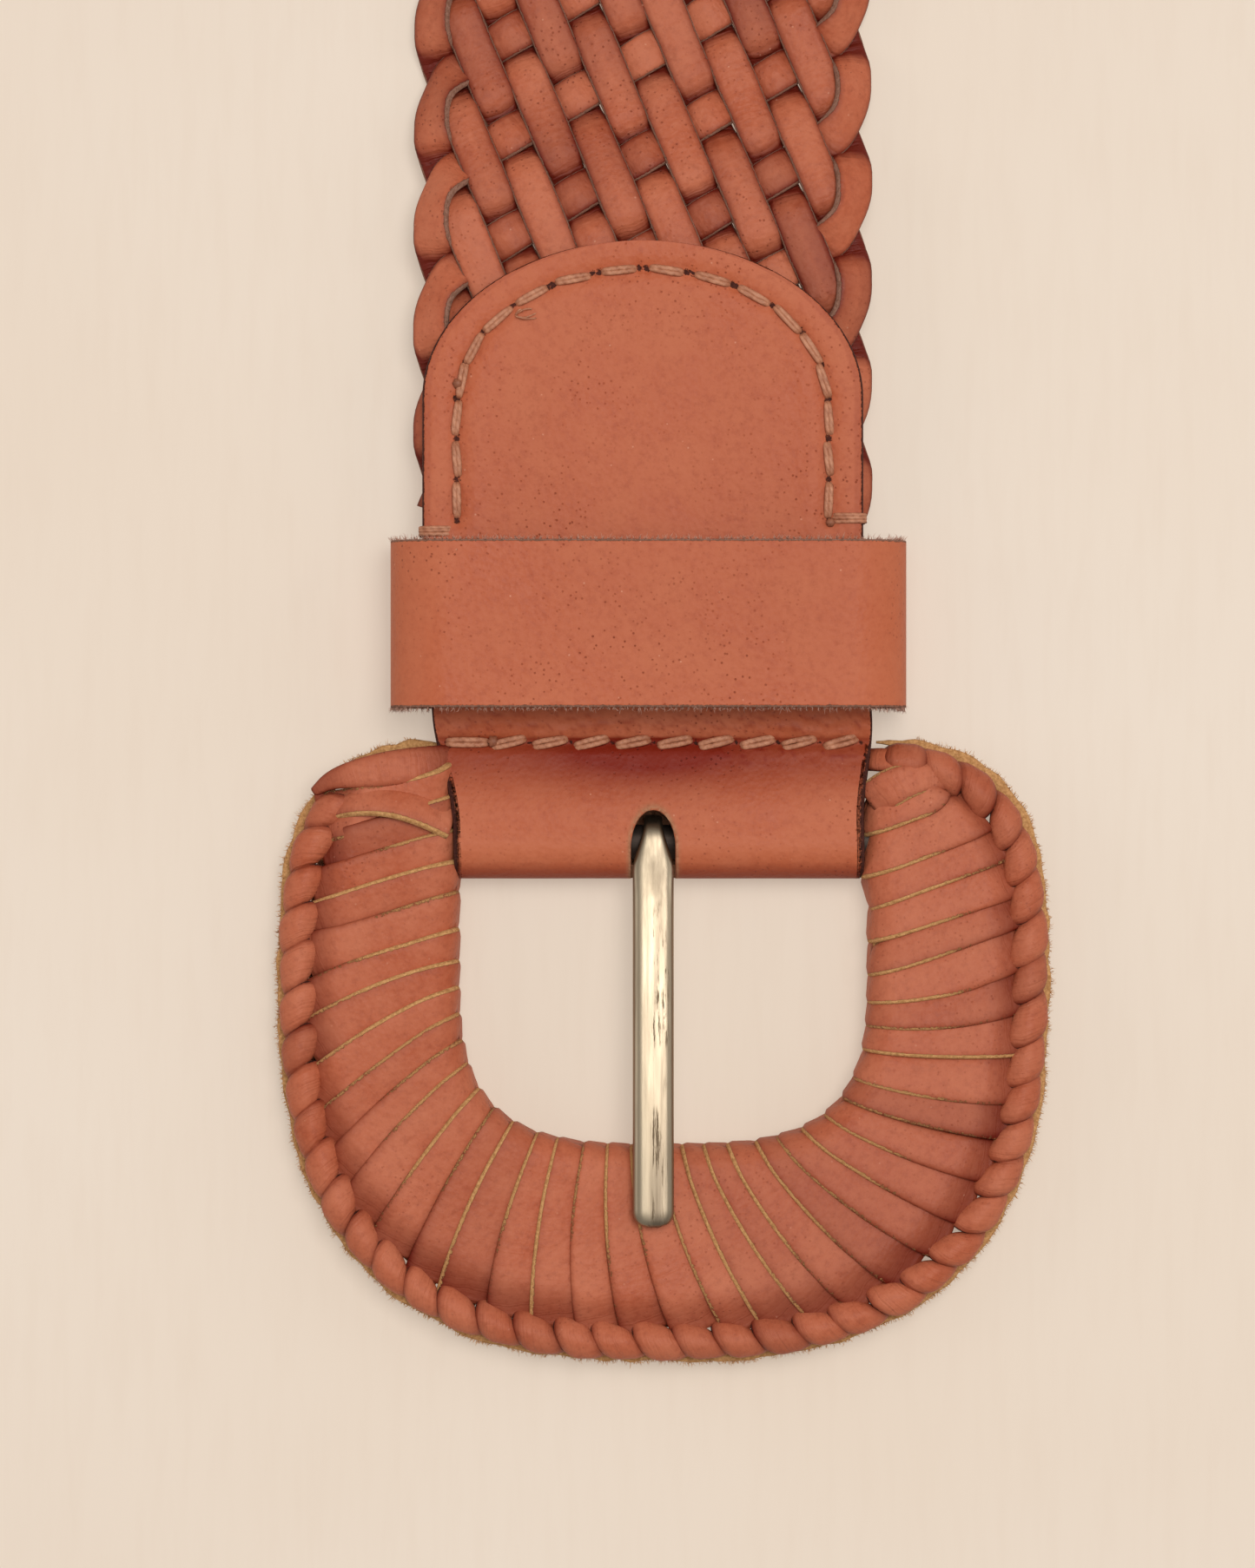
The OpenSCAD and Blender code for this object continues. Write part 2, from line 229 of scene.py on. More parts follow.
def lace_mesh(name, line, normal, half_w, half_t, bank=0.0, section=None, shade=0.0, crease=0.0, edge=0.0,
              fray=1.0):
    """A flat lace along a line, with its grain on the side of normal. bank raises the edge on the left of its way.
    shade says how dark or pale it is, as random tone with painted shade and painted highlight, crease how wrinkled
    it is across and edge how much painted shade darkens its edges, and fray says how much of its cut edges shows."""
    across, up, cut, flesh = section or lace_section()
    tangent = unit(np.gradient(line, axis=0))
    side = unit(np.cross(tangent, normal))
    rest = unit(np.cross(side, tangent))
    bank = np.broadcast_to(bank, len(line))[:, None]
    turned = side * np.cos(bank) - rest * np.sin(bank)
    face = rest * np.cos(bank) + side * np.sin(bank)
    half_w = np.broadcast_to(half_w, len(line))[:, None, None]
    half_t = np.broadcast_to(half_t, len(line))[:, None, None]
    places = (line[:, None] + turned[:, None] * half_w * across[None, :, None]
              + face[:, None] * half_t * up[None, :, None])
    shade, crease, fray = (np.broadcast_to(value, len(line))[:, None] for value in (shade, crease, fray))
    marks = {"cut": cut[None, :] * fray, "flesh": flesh[None, :], "along": gaps(line)[:, None],
             "shade": shade + edge * across[None, :] ** 4, "crease": crease}
    return skin_mesh(name, places, marks)


# ---------------------------------------------------------------- materials


class Nodes:
    """A material's node tree, built by short calls."""

    def __init__(self, name):
        self.material = bpy.data.materials.new(name)
        self.material.use_nodes = True
        self.tree = self.material.node_tree
        self.shader = self.tree.nodes["Principled BSDF"]

    def add(self, kind, inputs=None, **settings):
        node = self.tree.nodes.new("ShaderNode" + kind)
        for key, value in settings.items():
            setattr(node, key, value)
        for key, value in (inputs or {}).items():
            self.feed(node.inputs[key], value)
        return node

    def feed(self, socket, value):
        if isinstance(value, bpy.types.NodeSocket):
            self.tree.links.new(value, socket)
        else:
            socket.default_value = value

    def place(self):
        return self.add("TexCoord").outputs["Object"]

    def mark(self, name):
        return self.add("Attribute", attribute_name=name).outputs["Fac"]

    def noise(self, scale, detail=2.0, rough=0.5, at=None, stretch=None):
        at = at or self.place()
        if stretch:
            at = self.add("Mapping", {"Vector": at, "Scale": stretch}).outputs[0]
        inputs = {"Vector": at, "Scale": scale, "Detail": detail, "Roughness": rough}
        return self.add("TexNoise", inputs).outputs["Fac"]

    def cells(self, scale, at):
        """The distance from each point to its nearest cell's middle."""
        inputs = {"Vector": at, "Scale": scale, "Randomness": 1.0}
        return self.add("TexVoronoi", inputs).outputs["Distance"]

    def fit(self, value, low, high, to_low=0.0, to_high=1.0):
        inputs = {"Value": value, "From Min": low, "From Max": high, "To Min": to_low, "To Max": to_high}
        return self.add("MapRange", inputs).outputs["Result"]

    def sum(self, *terms, operation="ADD"):
        total = terms[0]
        for term in terms[1:]:
            node = self.add("Math", operation=operation)
            self.feed(node.inputs[0], total)
            self.feed(node.inputs[1], term)
            total = node.outputs[0]
        return total

    def times(self, *terms):
        return self.sum(*terms, operation="MULTIPLY")

    def mix(self, share, first, second):
        node = self.add("Mix", data_type="RGBA")
        self.feed(node.inputs["Factor"], share)
        self.feed(node.inputs[6], first)
        self.feed(node.inputs[7], second)
        return node.outputs[2]

    def darken(self, share, colour, amount):
        """The colour times amount where share is 1."""
        return self.mix(share, colour, self.scaled(colour, amount))

    def scaled(self, colour, amount):
        node = self.add("Mix", data_type="RGBA", blend_type="MULTIPLY")
        node.inputs["Factor"].default_value = 1.0
        self.feed(node.inputs[6], colour)
        node.inputs[7].default_value = (*amount, 1.0)
        return node.outputs[2]

    def bump(self, height, depth):
        """Relief whose height of 1 stands depth millimetres proud."""
        inputs = {"Height": height, "Distance": depth * MM, "Strength": 1.0}
        self.feed(self.shader.inputs["Normal"], self.add("Bump", inputs).outputs[0])

    def finish(self, colour, rough, metallic=0.0, specular=0.5):
        self.feed(self.shader.inputs["Base Color"], colour)
        self.feed(self.shader.inputs["Roughness"], rough)
        self.shader.inputs["Metallic"].default_value = metallic
        self.shader.inputs["Specular IOR Level"].default_value = specular
        return self.material


def srgb(red, green, blue):
    """A linear colour from its 0 to 255 display values."""
    return tuple(((v / 255 + 0.055) / 1.055) ** 2.4 for v in (red, green, blue)) + (1.0,)


# the pale and deep tones give the leather's mottling, and the shade mark also uses them as painted highlight and
# painted shade
GRAIN = srgb(179, 90, 56)
GRAIN_PALE = srgb(188, 105, 72)
GRAIN_DEEP = srgb(124, 32, 12)
LACE = srgb(175, 88, 57)
LACE_PALE = srgb(191, 110, 79)
LACE_DEEP = srgb(100, 26, 11)
CUT_TAN = srgb(214, 162, 106)
CUT_GREY = srgb(158, 116, 98)
# the chape's burnished cut edges, and also painted shade in its stitch holes and seams and in the gaps between the
# hitches
DARK_CUT_AND_SHADE = srgb(84, 44, 36)
FLESH = srgb(176, 128, 96)
THREAD = srgb(194, 134, 102)


SPECK = srgb(226, 170, 140)
ROUGH_LOW, ROUGH_HIGH = 0.46, 0.62
CUT_RELIEF = 0.21


def leather(name, tones, cut, grain=0.08, pores=1.0):
    """Smooth leather with mottling, pores and a fine grain. Its marks say where it is deeper or paler, as random
    tone with painted shade and painted highlight, and where it is cut or flesh side; the cut mark also carries
    painted shade in stitch holes and between hitches.
    tones are its plain, pale and deep colours, cut its cut edge's colour and grain its relief in millimetres."""
    n = Nodes(name)
    plain, pale, deep = tones
    at = n.place()
    cloudy = n.noise(110, 4, 0.65, at)
    broad = n.noise(28, 2, 0.5, at)
    fine = n.noise(1100, 4, 0.7, at)
    colour = n.mix(n.fit(cloudy, 0.35, 0.7), plain, pale)
    colour = n.mix(n.fit(broad, 0.42, 0.75, 0.0, 0.12), colour, deep)
    colour = n.mix(n.fit(fine, 0.5, 0.75, 0.0, 0.28), colour, deep)
    colour = n.mix(n.fit(fine, 0.5, 0.25, 0.0, 0.35), colour, pale)
    # painted shade and painted highlight: the shade mark draws the colour towards the deep tone above 0 and
    # towards the pale tone below 0
    shade = n.mark("shade")
    colour = n.mix(n.fit(shade, 0.0, 1.0), colour, deep)
    colour = n.mix(n.fit(shade, 0.0, -1.0), colour, pale)
    patches = n.fit(n.noise(75, 2, 0.5, at), 0.36, 0.7)
    pore_dots = n.fit(n.cells(1400, at), 0.1, 0.22, 1.0, 0.0)
    pore_dots = n.times(pore_dots, patches, pores)
    colour = n.darken(n.times(pore_dots, 0.85), colour, (0.42, 0.26, 0.22))
    specks = n.times(n.fit(n.cells(420, at), 0.03, 0.06, 1.0, 0.0), pores)
    colour = n.mix(n.times(specks, 0.35), colour, SPECK)
    flesh_mark = n.mark("flesh")
    fibre = n.noise(1500, 4, 0.7, at)
    flesh_colour = n.mix(n.fit(fibre, 0.35, 0.65), FLESH, n.scaled(FLESH, (0.62, 0.55, 0.5)))
    colour = n.mix(n.times(flesh_mark, 0.85), colour, flesh_colour)
    cut_mark = n.mark("cut")
    fuzz = n.noise(2600, 4, 0.7, at)
    cut_edge = n.fit(n.sum(cut_mark, n.fit(fuzz, 0.3, 0.7, -0.28, 0.28)), 0.42, 0.6)
    cut_colour = n.mix(n.fit(fuzz, 0.36, 0.62), cut, n.scaled(cut, (0.62, 0.55, 0.48)))
    colour = n.mix(cut_edge, colour, cut_colour)
    pebble = n.cells(1700, at)
    creases = n.noise(420, 5, 0.62, at)
    crease_at = n.sum(n.times(n.mark("along"), 1.5), n.times(n.noise(300, 2, 0.5, at), 2.2))
    crease_inputs = {"W": crease_at, "Scale": 1.0, "Detail": 2.0}
    across_creases = n.add("TexNoise", crease_inputs, noise_dimensions="1D").outputs["Fac"]
    height = n.sum(n.times(pebble, 0.55), n.times(creases, 0.9), n.times(pore_dots, -0.8))
    height = n.sum(height, n.times(across_creases, n.mark("crease"), 3.2))
    height = n.sum(height, n.times(cut_edge, fuzz, CUT_RELIEF / grain), n.times(flesh_mark, fibre, 2.0))
    n.bump(height, grain)
    roughness = n.fit(cloudy, 0.3, 0.7, ROUGH_LOW, ROUGH_HIGH)
    roughness = n.sum(roughness, n.times(cut_edge, 0.35), n.times(flesh_mark, 0.25))
    return n.finish(colour, roughness, specular=0.2)


def thread_finish(name, colour):
    """Waxed thread: its plies run slanted round the strand, with painted shade in the grooves between them."""
    n = Nodes(name)
    at = n.place()
    strand = n.noise(900, 3, 0.6, at)
    twist = n.mark("ply")
    mixed = n.mix(n.fit(strand, 0.35, 0.65), colour, n.scaled(colour, (0.72, 0.6, 0.54)))
    # painted shade in the grooves between the plies; the knots' turns, marked higher, come out darker all over
    mixed = n.darken(n.times(twist, 0.35), mixed, (0.5, 0.38, 0.33))
    n.bump(n.sum(n.times(twist, -0.5), n.times(strand, 0.8)), 0.1)
    return n.finish(mixed, 0.55, specular=0.35)


GOLD_PLATE, GOLD_STREAK, GOLD_WORN = srgb(174, 158, 134), srgb(150, 134, 112), srgb(104, 86, 66)


def pale_gold():
    """Polished pale gold plating, with fine scratches along the prong and worn marks down its middle."""
    n = Nodes("pale_gold")
    at = n.place()
    streak = n.noise(900, 4, 0.65, at, stretch=(1.0, 0.03, 1.0))
    hair = n.noise(2600, 3, 0.6, at, stretch=(1.0, 0.02, 1.0))
    wear_place = n.fit(n.noise(190, 2, 0.5, at, stretch=(1.0, 0.5, 1.0)), 0.47, 0.56)
    scrapes = n.noise(2200, 5, 0.75, at, stretch=(1.0, 0.05, 1.0))
    worn = n.times(n.fit(scrapes, 0.52, 0.58), wear_place, n.mark("mid"))
    plate = n.mix(n.fit(streak, 0.3, 0.7), GOLD_PLATE, GOLD_STREAK)
    dull = n.noise(420, 3, 0.6, at, stretch=(1.0, 0.12, 1.0))
    middle_tone = n.times(n.mark("mid"), n.fit(dull, 0.38, 0.62))
    plate = n.darken(n.times(middle_tone, 0.8), plate, (0.62, 0.6, 0.6))
    colour = n.mix(n.times(worn, 0.85), plate, GOLD_WORN)
    n.bump(n.sum(n.times(hair, 0.5), n.times(streak, 0.5)), 0.02)
    rough = n.sum(n.fit(streak, 0.3, 0.7, 0.32, 0.46), n.times(worn, 0.25))
    return n.finish(colour, rough, metallic=1.0, specular=0.5)


def plain_steel():
    """Dark brushed steel, of the parts inside the leather and the keeper's staples. Its dark brown is partly
    painted
    shade: where the bar shows in the prong's slot it stands for the shaded gap there.
    """
    n = Nodes("plain_steel")
    brushed = n.noise(700, 4, 0.6, stretch=(0.05, 1.0, 1.0))
    n.bump(brushed, 0.02)
    colour = n.mix(n.fit(brushed, 0.3, 0.7), srgb(74, 62, 54), srgb(50, 42, 37))
    return n.finish(colour, n.fit(brushed, 0.3, 0.7, 0.55, 0.7), metallic=0.8)


FLOOR_TONES = srgb(235, 219, 202), srgb(232, 214, 195)
FLOOR_FLECK = srgb(226, 206, 186)
FLOOR_GLOW = 0.485


def floor_finish():
    """The stage's pale board, with a faint streak along Y."""
    n = Nodes("pale_board")
    at = n.place()
    cloud = n.noise(9, 3, 0.5, at)
    fine = n.noise(500, 4, 0.6, at, stretch=(1.0, 0.12, 1.0))
    tint = n.mix(n.fit(cloud, 0.35, 0.65), *FLOOR_TONES)
    tint = n.mix(n.fit(fine, 0.45, 0.75, 0.0, 0.25), tint, FLOOR_FLECK)
    n.bump(fine, 0.03)
    n.feed(n.shader.inputs["Emission Color"], tint)
    n.shader.inputs["Emission Strength"].default_value = FLOOR_GLOW
    return n.finish(n.scaled(tint, (0.5, 0.5, 0.5)), 0.8, specular=0.1)


GRAIN_TONES = (GRAIN, GRAIN_PALE, GRAIN_DEEP)
LACE_TONES = (LACE, LACE_PALE, LACE_DEEP)
FIBRE_TONES = (srgb(196, 148, 128), srgb(206, 160, 138), srgb(150, 100, 84))
LEATHER = leather("grain_leather", GRAIN_TONES, DARK_CUT_AND_SHADE, pores=0.9)
WRAP = leather("wrap_leather", LACE_TONES, CUT_TAN, pores=0.5)
HITCH = leather("hitch_leather", LACE_TONES, DARK_CUT_AND_SHADE, pores=0.4)
BRAID = leather("braid_leather", LACE_TONES, CUT_GREY, pores=0.8, grain=0.1)
RAW = leather("raw_leather", (FLESH, FLESH, DARK_CUT_AND_SHADE), CUT_TAN, pores=0.0, grain=0.15)
KEEPER_FINISH = leather("keeper_leather", GRAIN_TONES, CUT_GREY)
FIBRE = leather("loose_fibre", FIBRE_TONES, CUT_GREY, pores=0.0)
TAN_FIBRE = leather("tan_fibre", (CUT_TAN, CUT_TAN, FLESH), CUT_TAN, pores=0.0)
SEWING = thread_finish("sewing_thread", THREAD)
GOLD = pale_gold()
STEEL = plain_steel()

# ---------------------------------------------------------------- the strap's own coordinates


def braid_low(y):
    """The height of the braid's underside, which comes down to the floor beyond the chape."""
    return INNER_Z * (1 - rise(y, DROP_Y, GROUND_Y))


def roll_turn(q):
    """How far round the roll the strap is, in radians, q millimetres from the bar."""
    beyond = np.maximum(q - ROLL_Y, 0)
    radius = np.sqrt(np.maximum(ROLL_R**2 - beyond * ROLL_PITCH / math.pi, 1.0))
    return (ROLL_R - radius) * 2 * math.pi / ROLL_PITCH


LAST_TURN = roll_turn(np.array(STRAP_LEN))
TIP_TURN = TIP_LEN / ROLL_R_IN


def on_strap(u, q, up):
    """Places and face directions for points u across the strap, q along it and up off its middle."""
    u, q, up = np.broadcast_arrays(np.asarray(u, float), np.asarray(q, float), np.asarray(up, float))
    turn = roll_turn(q)
    drawn_in = TIP_IN * rise(turn, LAST_TURN - TIP_TURN - TIP_IN_TURN, LAST_TURN - TIP_TURN)
    radius = ROLL_R - ROLL_PITCH * turn / (2 * math.pi) - drawn_in
    rolled = q > ROLL_Y
    reach = radius - up
    y = np.where(rolled, ROLL_Y + reach * np.sin(turn), q)
    z = np.where(rolled, ROLL_Z - reach * np.cos(turn), braid_low(q) + STRAP_T / 2 + up)
    slope = (braid_low(q + 0.1) - braid_low(q - 0.1)) / 0.2
    facing_y = np.where(rolled, -np.sin(turn), -slope)
    facing_z = np.where(rolled, np.cos(turn), 1)
    facing = np.stack([0 * turn, facing_y, facing_z], -1)
    return np.stack([STRAP_X + u, y, z], -1), unit(facing)


# ---------------------------------------------------------------- braid

LACES = 14
# a lace moves ACROSS at each crossing, and DOWN_A or DOWN_B along the strap as it runs down right or left
ACROSS = 3.825
DOWN_A, DOWN_B = 9.35, 2.35
ROW_STEP = DOWN_A + DOWN_B
FIRST_Q = 88.54
BRAID_FROM, BRAID_TO = 37.6, STRAP_LEN - 1.0
DIR_A = unit(np.array([ACROSS, -DOWN_A]))
DIR_B = unit(np.array([-ACROSS, -DOWN_B]))
LEN_A, LEN_B = math.hypot(ACROSS, DOWN_A), math.hypot(ACROSS, DOWN_B)
TURN_PULL = 6.6
HIGH_A, HIGH_B = 0.98, 0.84
BANK = math.radians(42)
SAMPLE, FLAT_STEP, ROLL_STEP = 0.25, 0.75, 1.7
FINE_TO = ROLL_Y - 34
LACE_HALF_W, LACE_HALF_T = 2.14, 0.64


def crossing(k, n):
    """Where right-to-left run n meets lace place k, as strap across and along."""
    return np.array([(k - 6) * ACROSS, FIRST_Q - ROW_STEP * n + DOWN_B * k])


def smooth_between(at, places, values):
    """values at places, joined by level-ended curves."""
    places, values = np.asarray(places, float), np.asarray(values, float)
    i = np.clip(np.searchsorted(places, at) - 1, 0, len(places) - 2)
    share = ease((at - places[i]) / np.maximum(places[i + 1] - places[i], 1e-6))
    return values[i] + (values[i + 1] - values[i]) * share


def strand_run(n):
    """One full cycle of a lace: right to left, a turn, down to the right and a turn.
    Gives its line, with the places along it where it is high or low and where it is banked."""
    heights, banks = [], []
    left = bezier(crossing(1, n), crossing(1, n) + TURN_PULL * DIR_B, crossing(0, n + 1) - TURN_PULL * DIR_A,
                  crossing(0, n + 1), 24)
    right = bezier(crossing(12, n + 13), crossing(12, n + 13) + TURN_PULL * DIR_A,
                   crossing(11, n + 14) - TURN_PULL * DIR_B, crossing(11, n + 14), 24)
    turn_len = gaps(left)[-1]
    for k in range(11, 0, -1):
        heights.append(((11 - k) * LEN_B, -HIGH_B if k % 2 else HIGH_B))
    at = 10 * LEN_B
    heights += [(at + 4.6, HIGH_B), (at + turn_len - 5.2, HIGH_A)]
    banks += [(at + 1.0, 0), (at + 6.5, BANK), (at + turn_len - 6.0, 0.8 * BANK), (at + turn_len - 1.0, 0)]
    at += turn_len
    for k in range(0, 13, 2):
        middle = at + k * LEN_A
        heights += [(middle - 1.4, -HIGH_A), (middle + 1.4, -HIGH_A)]
        if k < 12:
            heights += [(middle + 5.2, HIGH_A), (middle + 2 * LEN_A - 5.2, HIGH_A)]
    at += 12 * LEN_A
    heights += [(at + 5.2, HIGH_A), (at + turn_len - 4.6, HIGH_B)]
    banks += [(at + 1.0, 0), (at + 6.0, -0.8 * BANK), (at + turn_len - 6.5, -BANK), (at + turn_len - 1.0, 0)]
    line = np.concatenate([[crossing(11, n)], left, right])
    return line, heights, banks, at + turn_len


def strand_way(s):
    """The cycles of lace s joined, with the places along it where it is high or low and where it is banked."""
    highest = math.ceil((FIRST_Q + 30 - BRAID_FROM) / ROW_STEP)
    lowest = math.floor((FIRST_Q - BRAID_TO) / ROW_STEP) - LACES
    line, heights, banks, at = [], [], [], 0.0
    for n in range(lowest + (s - lowest) % LACES, highest + 1, LACES):
        run, run_heights, run_banks, length = strand_run(n)
        line.append(run)
        heights += [(at + place, value) for place, value in run_heights]
        banks += [(at + place, value) for place, value in run_banks]
        at += length
    return np.concatenate(line), heights, banks


def strand_rings(line):
    """How far along a lace's line its rings are, and their places across and along the strap. They are closer
    where the strap is flat."""
    along = gaps(line)
    keep = np.concatenate([[True], np.diff(along) > 1e-6])
    line, along = line[keep], along[keep]
    dense = np.arange(0, along[-1], SAMPLE)
    line_at = np.stack([np.interp(dense, along, line[:, i]) for i in range(2)], 1)
    inside = (line_at[:, 1] > BRAID_FROM) & (line_at[:, 1] < BRAID_TO)
    rings, last = [], -9.0
    for i in np.flatnonzero(inside):
        step = FLAT_STEP if line_at[i, 1] < FINE_TO else ROLL_STEP
        if dense[i] - last >= step - 1e-6:
            rings.append(i)
            last = dense[i]
    return dense[rings], line_at[rings]


def braid_strand(s):
    """Lace s from the tail's end to the buckle's end, as one piece."""
    line, heights, banks = strand_way(s)
    where, line_at = strand_rings(line)
    u, q = line_at.T
    height = smooth_between(where, *zip(*heights))
    bank = smooth_between(where, *zip(*banks))
    up = height + 0.25 * np.abs(bank) / BANK
    places, facing = on_strap(u, q, up)
    half_w = LACE_HALF_W + 0.2 * ease((height + 0.9) / 1.6)
    half_w = half_w + 0.07 * np.interp(where, np.linspace(0, where[-1], 400), rng.uniform(-1, 1, 400))
    slow = np.interp(where, np.linspace(0, where[-1], 120), rng.uniform(-0.35, 0.4, 120))
    # painted shade: the lace is darker where it dives low under its neighbours, and edge=1.0 below darkens its
    # edges with painted shade; the random start and slow are its own tone
    low = 1 - ease((height + 0.98) / 1.75)
    shade = rng.uniform(-0.15, 0.15) + (slow - 0.05) * (1 - low) + 1.15 * low
    crease = 0.15 + 0.85 * np.clip(1.5 * low, 0, 1)
    mesh = lace_mesh(f"braid_strand_{s + 1:02d}", places, facing, half_w, LACE_HALF_T, bank,
                     shade=shade, crease=crease, edge=1.0)
    strand = new_object(mesh.name, mesh, [BRAID])
    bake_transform(strand)
    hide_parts("braid_flat", "braid_roll")


# ---------------------------------------------------------------- the buckle's wrapping

WINDOW_X, WINDOW_FRONT, WINDOW_TURN = 24.2, 35.5, -14.0
BUCKLE_X, BUCKLE_FRONT, BUCKLE_TURN, SHOULDER_X, BUCKLE_BACK = 44.4, 59.8, -15.0, 20.0, 12.0
EDGE_W = 4.4
BANDS = 37
BAND_LEAN = 5.2
BAND_HALF_T = 0.5
WINDOW_POWER, RIM_POWER = 3.2, 2.7


def super_radius(angle, a, b, power):
    """The reach at an angle of a rounded rectangle of half sizes a and b. A greater power squares it more."""
    return 1 / ((np.abs(np.cos(angle)) / a) ** power + (np.abs(np.sin(angle)) / b) ** power) ** (1 / power)


def ring_edges():
    """Matched points of the window's edge and the plate's outer edge, from the left end round to the right."""
    y = np.linspace(6.4, WINDOW_TURN, 60)[:-1]
    window = WINDOW_X + 1.6 * rise(y, 2, BUCKLE_BACK)
    nearer = 0.8 * rise(y, -7, -3)
    outer = SHOULDER_X + (BUCKLE_X - SHOULDER_X - EDGE_W) * (
        1 - np.clip((y - BUCKLE_TURN) / (BUCKLE_BACK - BUCKLE_TURN - EDGE_W), 0, 1) ** 3) ** (1 / 3)
    angle = np.linspace(math.pi, 2 * math.pi, 181)
    spoke = np.stack([np.cos(angle), np.sin(angle)], 1)
    inner = spoke * super_radius(angle, WINDOW_X, WINDOW_FRONT + WINDOW_TURN, WINDOW_POWER)[:, None]
    rim = spoke * super_radius(angle, BUCKLE_X - EDGE_W, BUCKLE_FRONT + BUCKLE_TURN - EDGE_W, RIM_POWER)[:, None]
    inner[:, 1] += WINDOW_TURN
    rim[:, 1] += WINDOW_TURN - 0.5
    inner = np.concatenate([np.stack([-window + 0.2 * nearer, y], 1), inner,
                            np.stack([window - nearer, y], 1)[::-1]])
    rim = np.concatenate([np.stack([-outer, y], 1), rim, np.stack([outer, y], 1)[::-1]])
    return inner, rim


RING_IN, RING_OUT = ring_edges()
RING_AT = gaps((RING_IN + RING_OUT) / 2)
RING_LEN = RING_AT[-1]


def on_ring(t, r):
    """A point of the plate, t round its middle line and r from the window (0) to the outer edge (1)."""
    t = np.asarray(t, float)
    inner = np.stack([np.interp(t, RING_AT, RING_IN[:, i]) for i in range(2)], -1)
    outer = np.stack([np.interp(t, RING_AT, RING_OUT[:, i]) for i in range(2)], -1)
    past = np.clip(-t, 0, None) + np.clip(t - RING_LEN, 0, None)
    point = inner + (outer - inner) * np.asarray(r, float)[..., None]
    point[..., 1] += past
    return point


BAND_TOP, BAND_LOW = 7.42, 0.98
BAND_END = 1.08
BEND_IN, BEND_ROUND = 3.1, 0.8
BAND_BANK = math.radians(9.5)
BAND_SECTION = lace_section(26, 0.18)
LOOSE_SECTION = lace_section(26, 0.4)


def band_profile():
    """The way a band goes round the plate: how far it is from the bend at the window towards the rim (0 to 1),
    how far into the bend it is, and its height. It ends a little past 1, under the hitches."""
    mid, tall = (BAND_TOP + BAND_LOW) / 2, (BAND_TOP - BAND_LOW) / 2
    over = [(r, 0.0, BAND_TOP - 1.5 * rise(r, 0.8, BAND_END)) for r in np.linspace(BAND_END, 0.0, 30)]
    bend = []
    for angle in np.linspace(0, math.pi, 21)[1:-1]:
        upward = math.cos(angle)
        height = math.copysign(abs(upward) ** BEND_ROUND, upward)
        bend.append((0.0, math.sin(angle) ** BEND_ROUND, mid + tall * height))
    under = [(r, 0.0, BAND_LOW + 0.8 * rise(r, 0.8, BAND_END)) for r in np.linspace(0.0, BAND_END, 14)]
    return np.array(over + bend + under)


def wrap_band(i):
    """One turn of lace round the plate. Its forward edge lies on the next turn."""
    pitch = RING_LEN / BANDS
    t0 = pitch * (i + 0.45) + rng.uniform(-0.07, 0.07) * pitch
    share, bend, z = band_profile().T
    width = float(np.linalg.norm(on_ring(t0, 0.0) - on_ring(t0, 1.0)))
    start = BEND_IN / width
    r = start * (1 - bend) + share * (1 - start)
    lean = BAND_LEAN * (1 + rng.uniform(-0.12, 0.12))
    under_side = np.arange(len(r)) > len(r) * 0.62
    t = t0 + np.where(under_side, -0.35, 1.0) * lean * (r - 0.5) - np.where(under_side, 0.65 * lean * 0.5, 0)
    sway = rng.uniform(-0.25, 0.25) * np.sin(math.pi * np.clip(r, 0, 1))
    tuck = (0.25 if i == 0 else 0.0) * rise(r, 0.75, BAND_END)
    places = np.concatenate([on_ring(t + sway, r + tuck), z[:, None]], 1)
    step = np.linalg.norm(on_ring(t + pitch / 2, r) - on_ring(t - pitch / 2, r), axis=1)
    slant = math.cos(math.atan2(lean, 16.0))
    half_w = np.maximum(step * slant * 0.5 + 0.42, 1.05) * (1 + rng.uniform(-0.1, 0.12))
    centre = np.concatenate([on_ring(t, 0 * r + 0.42), np.full((len(r), 1), AXIS_Z)], 1)
    tangent = unit(np.gradient(places, axis=0))
    along_ring = np.concatenate([on_ring(t + 0.5, r) - on_ring(t - 0.5, r), np.zeros((len(r), 1))], 1)
    facing = unit(np.cross(unit(along_ring), tangent))
    outwards = np.sum(facing * (places - centre), axis=1)
    facing = facing * np.sign(outwards.mean() or 1)
    bank = BAND_BANK * np.clip(2.6 / half_w, 0.6, 1.7)
    # random tone, with painted shade towards the outer end, where the turn goes under the hitches; the edge of 0.5
    # below darkens its edges with painted shade
    shade = rng.uniform(-0.2, 0.15) + 0.6 * rise(share, 0.7, 1.02) + 0.08 * rng.normal()
    half_w = half_w * np.where(under_side, 0.92, 1.0)
    crease = 0.15 + 0.4 * rise(share, 0.8, 1.0)
    across, up, _, flesh = BAND_SECTION
    section = (across, up, cut_at(across, 0.84, 0.06), flesh)
    fray = rng.uniform(0.55, 1.25) - rng.uniform(0.1, 0.9) * rise(share, 0.15, 0.75)
    mesh = lace_mesh(f"wrap_band_{i + 1:02d}", places, facing, half_w, BAND_HALF_T, bank, section,
                     shade, crease, 0.5, fray)
    band = new_object(mesh.name, mesh, [WRAP])
    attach(band, "buckle")
    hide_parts("wrap_lace")


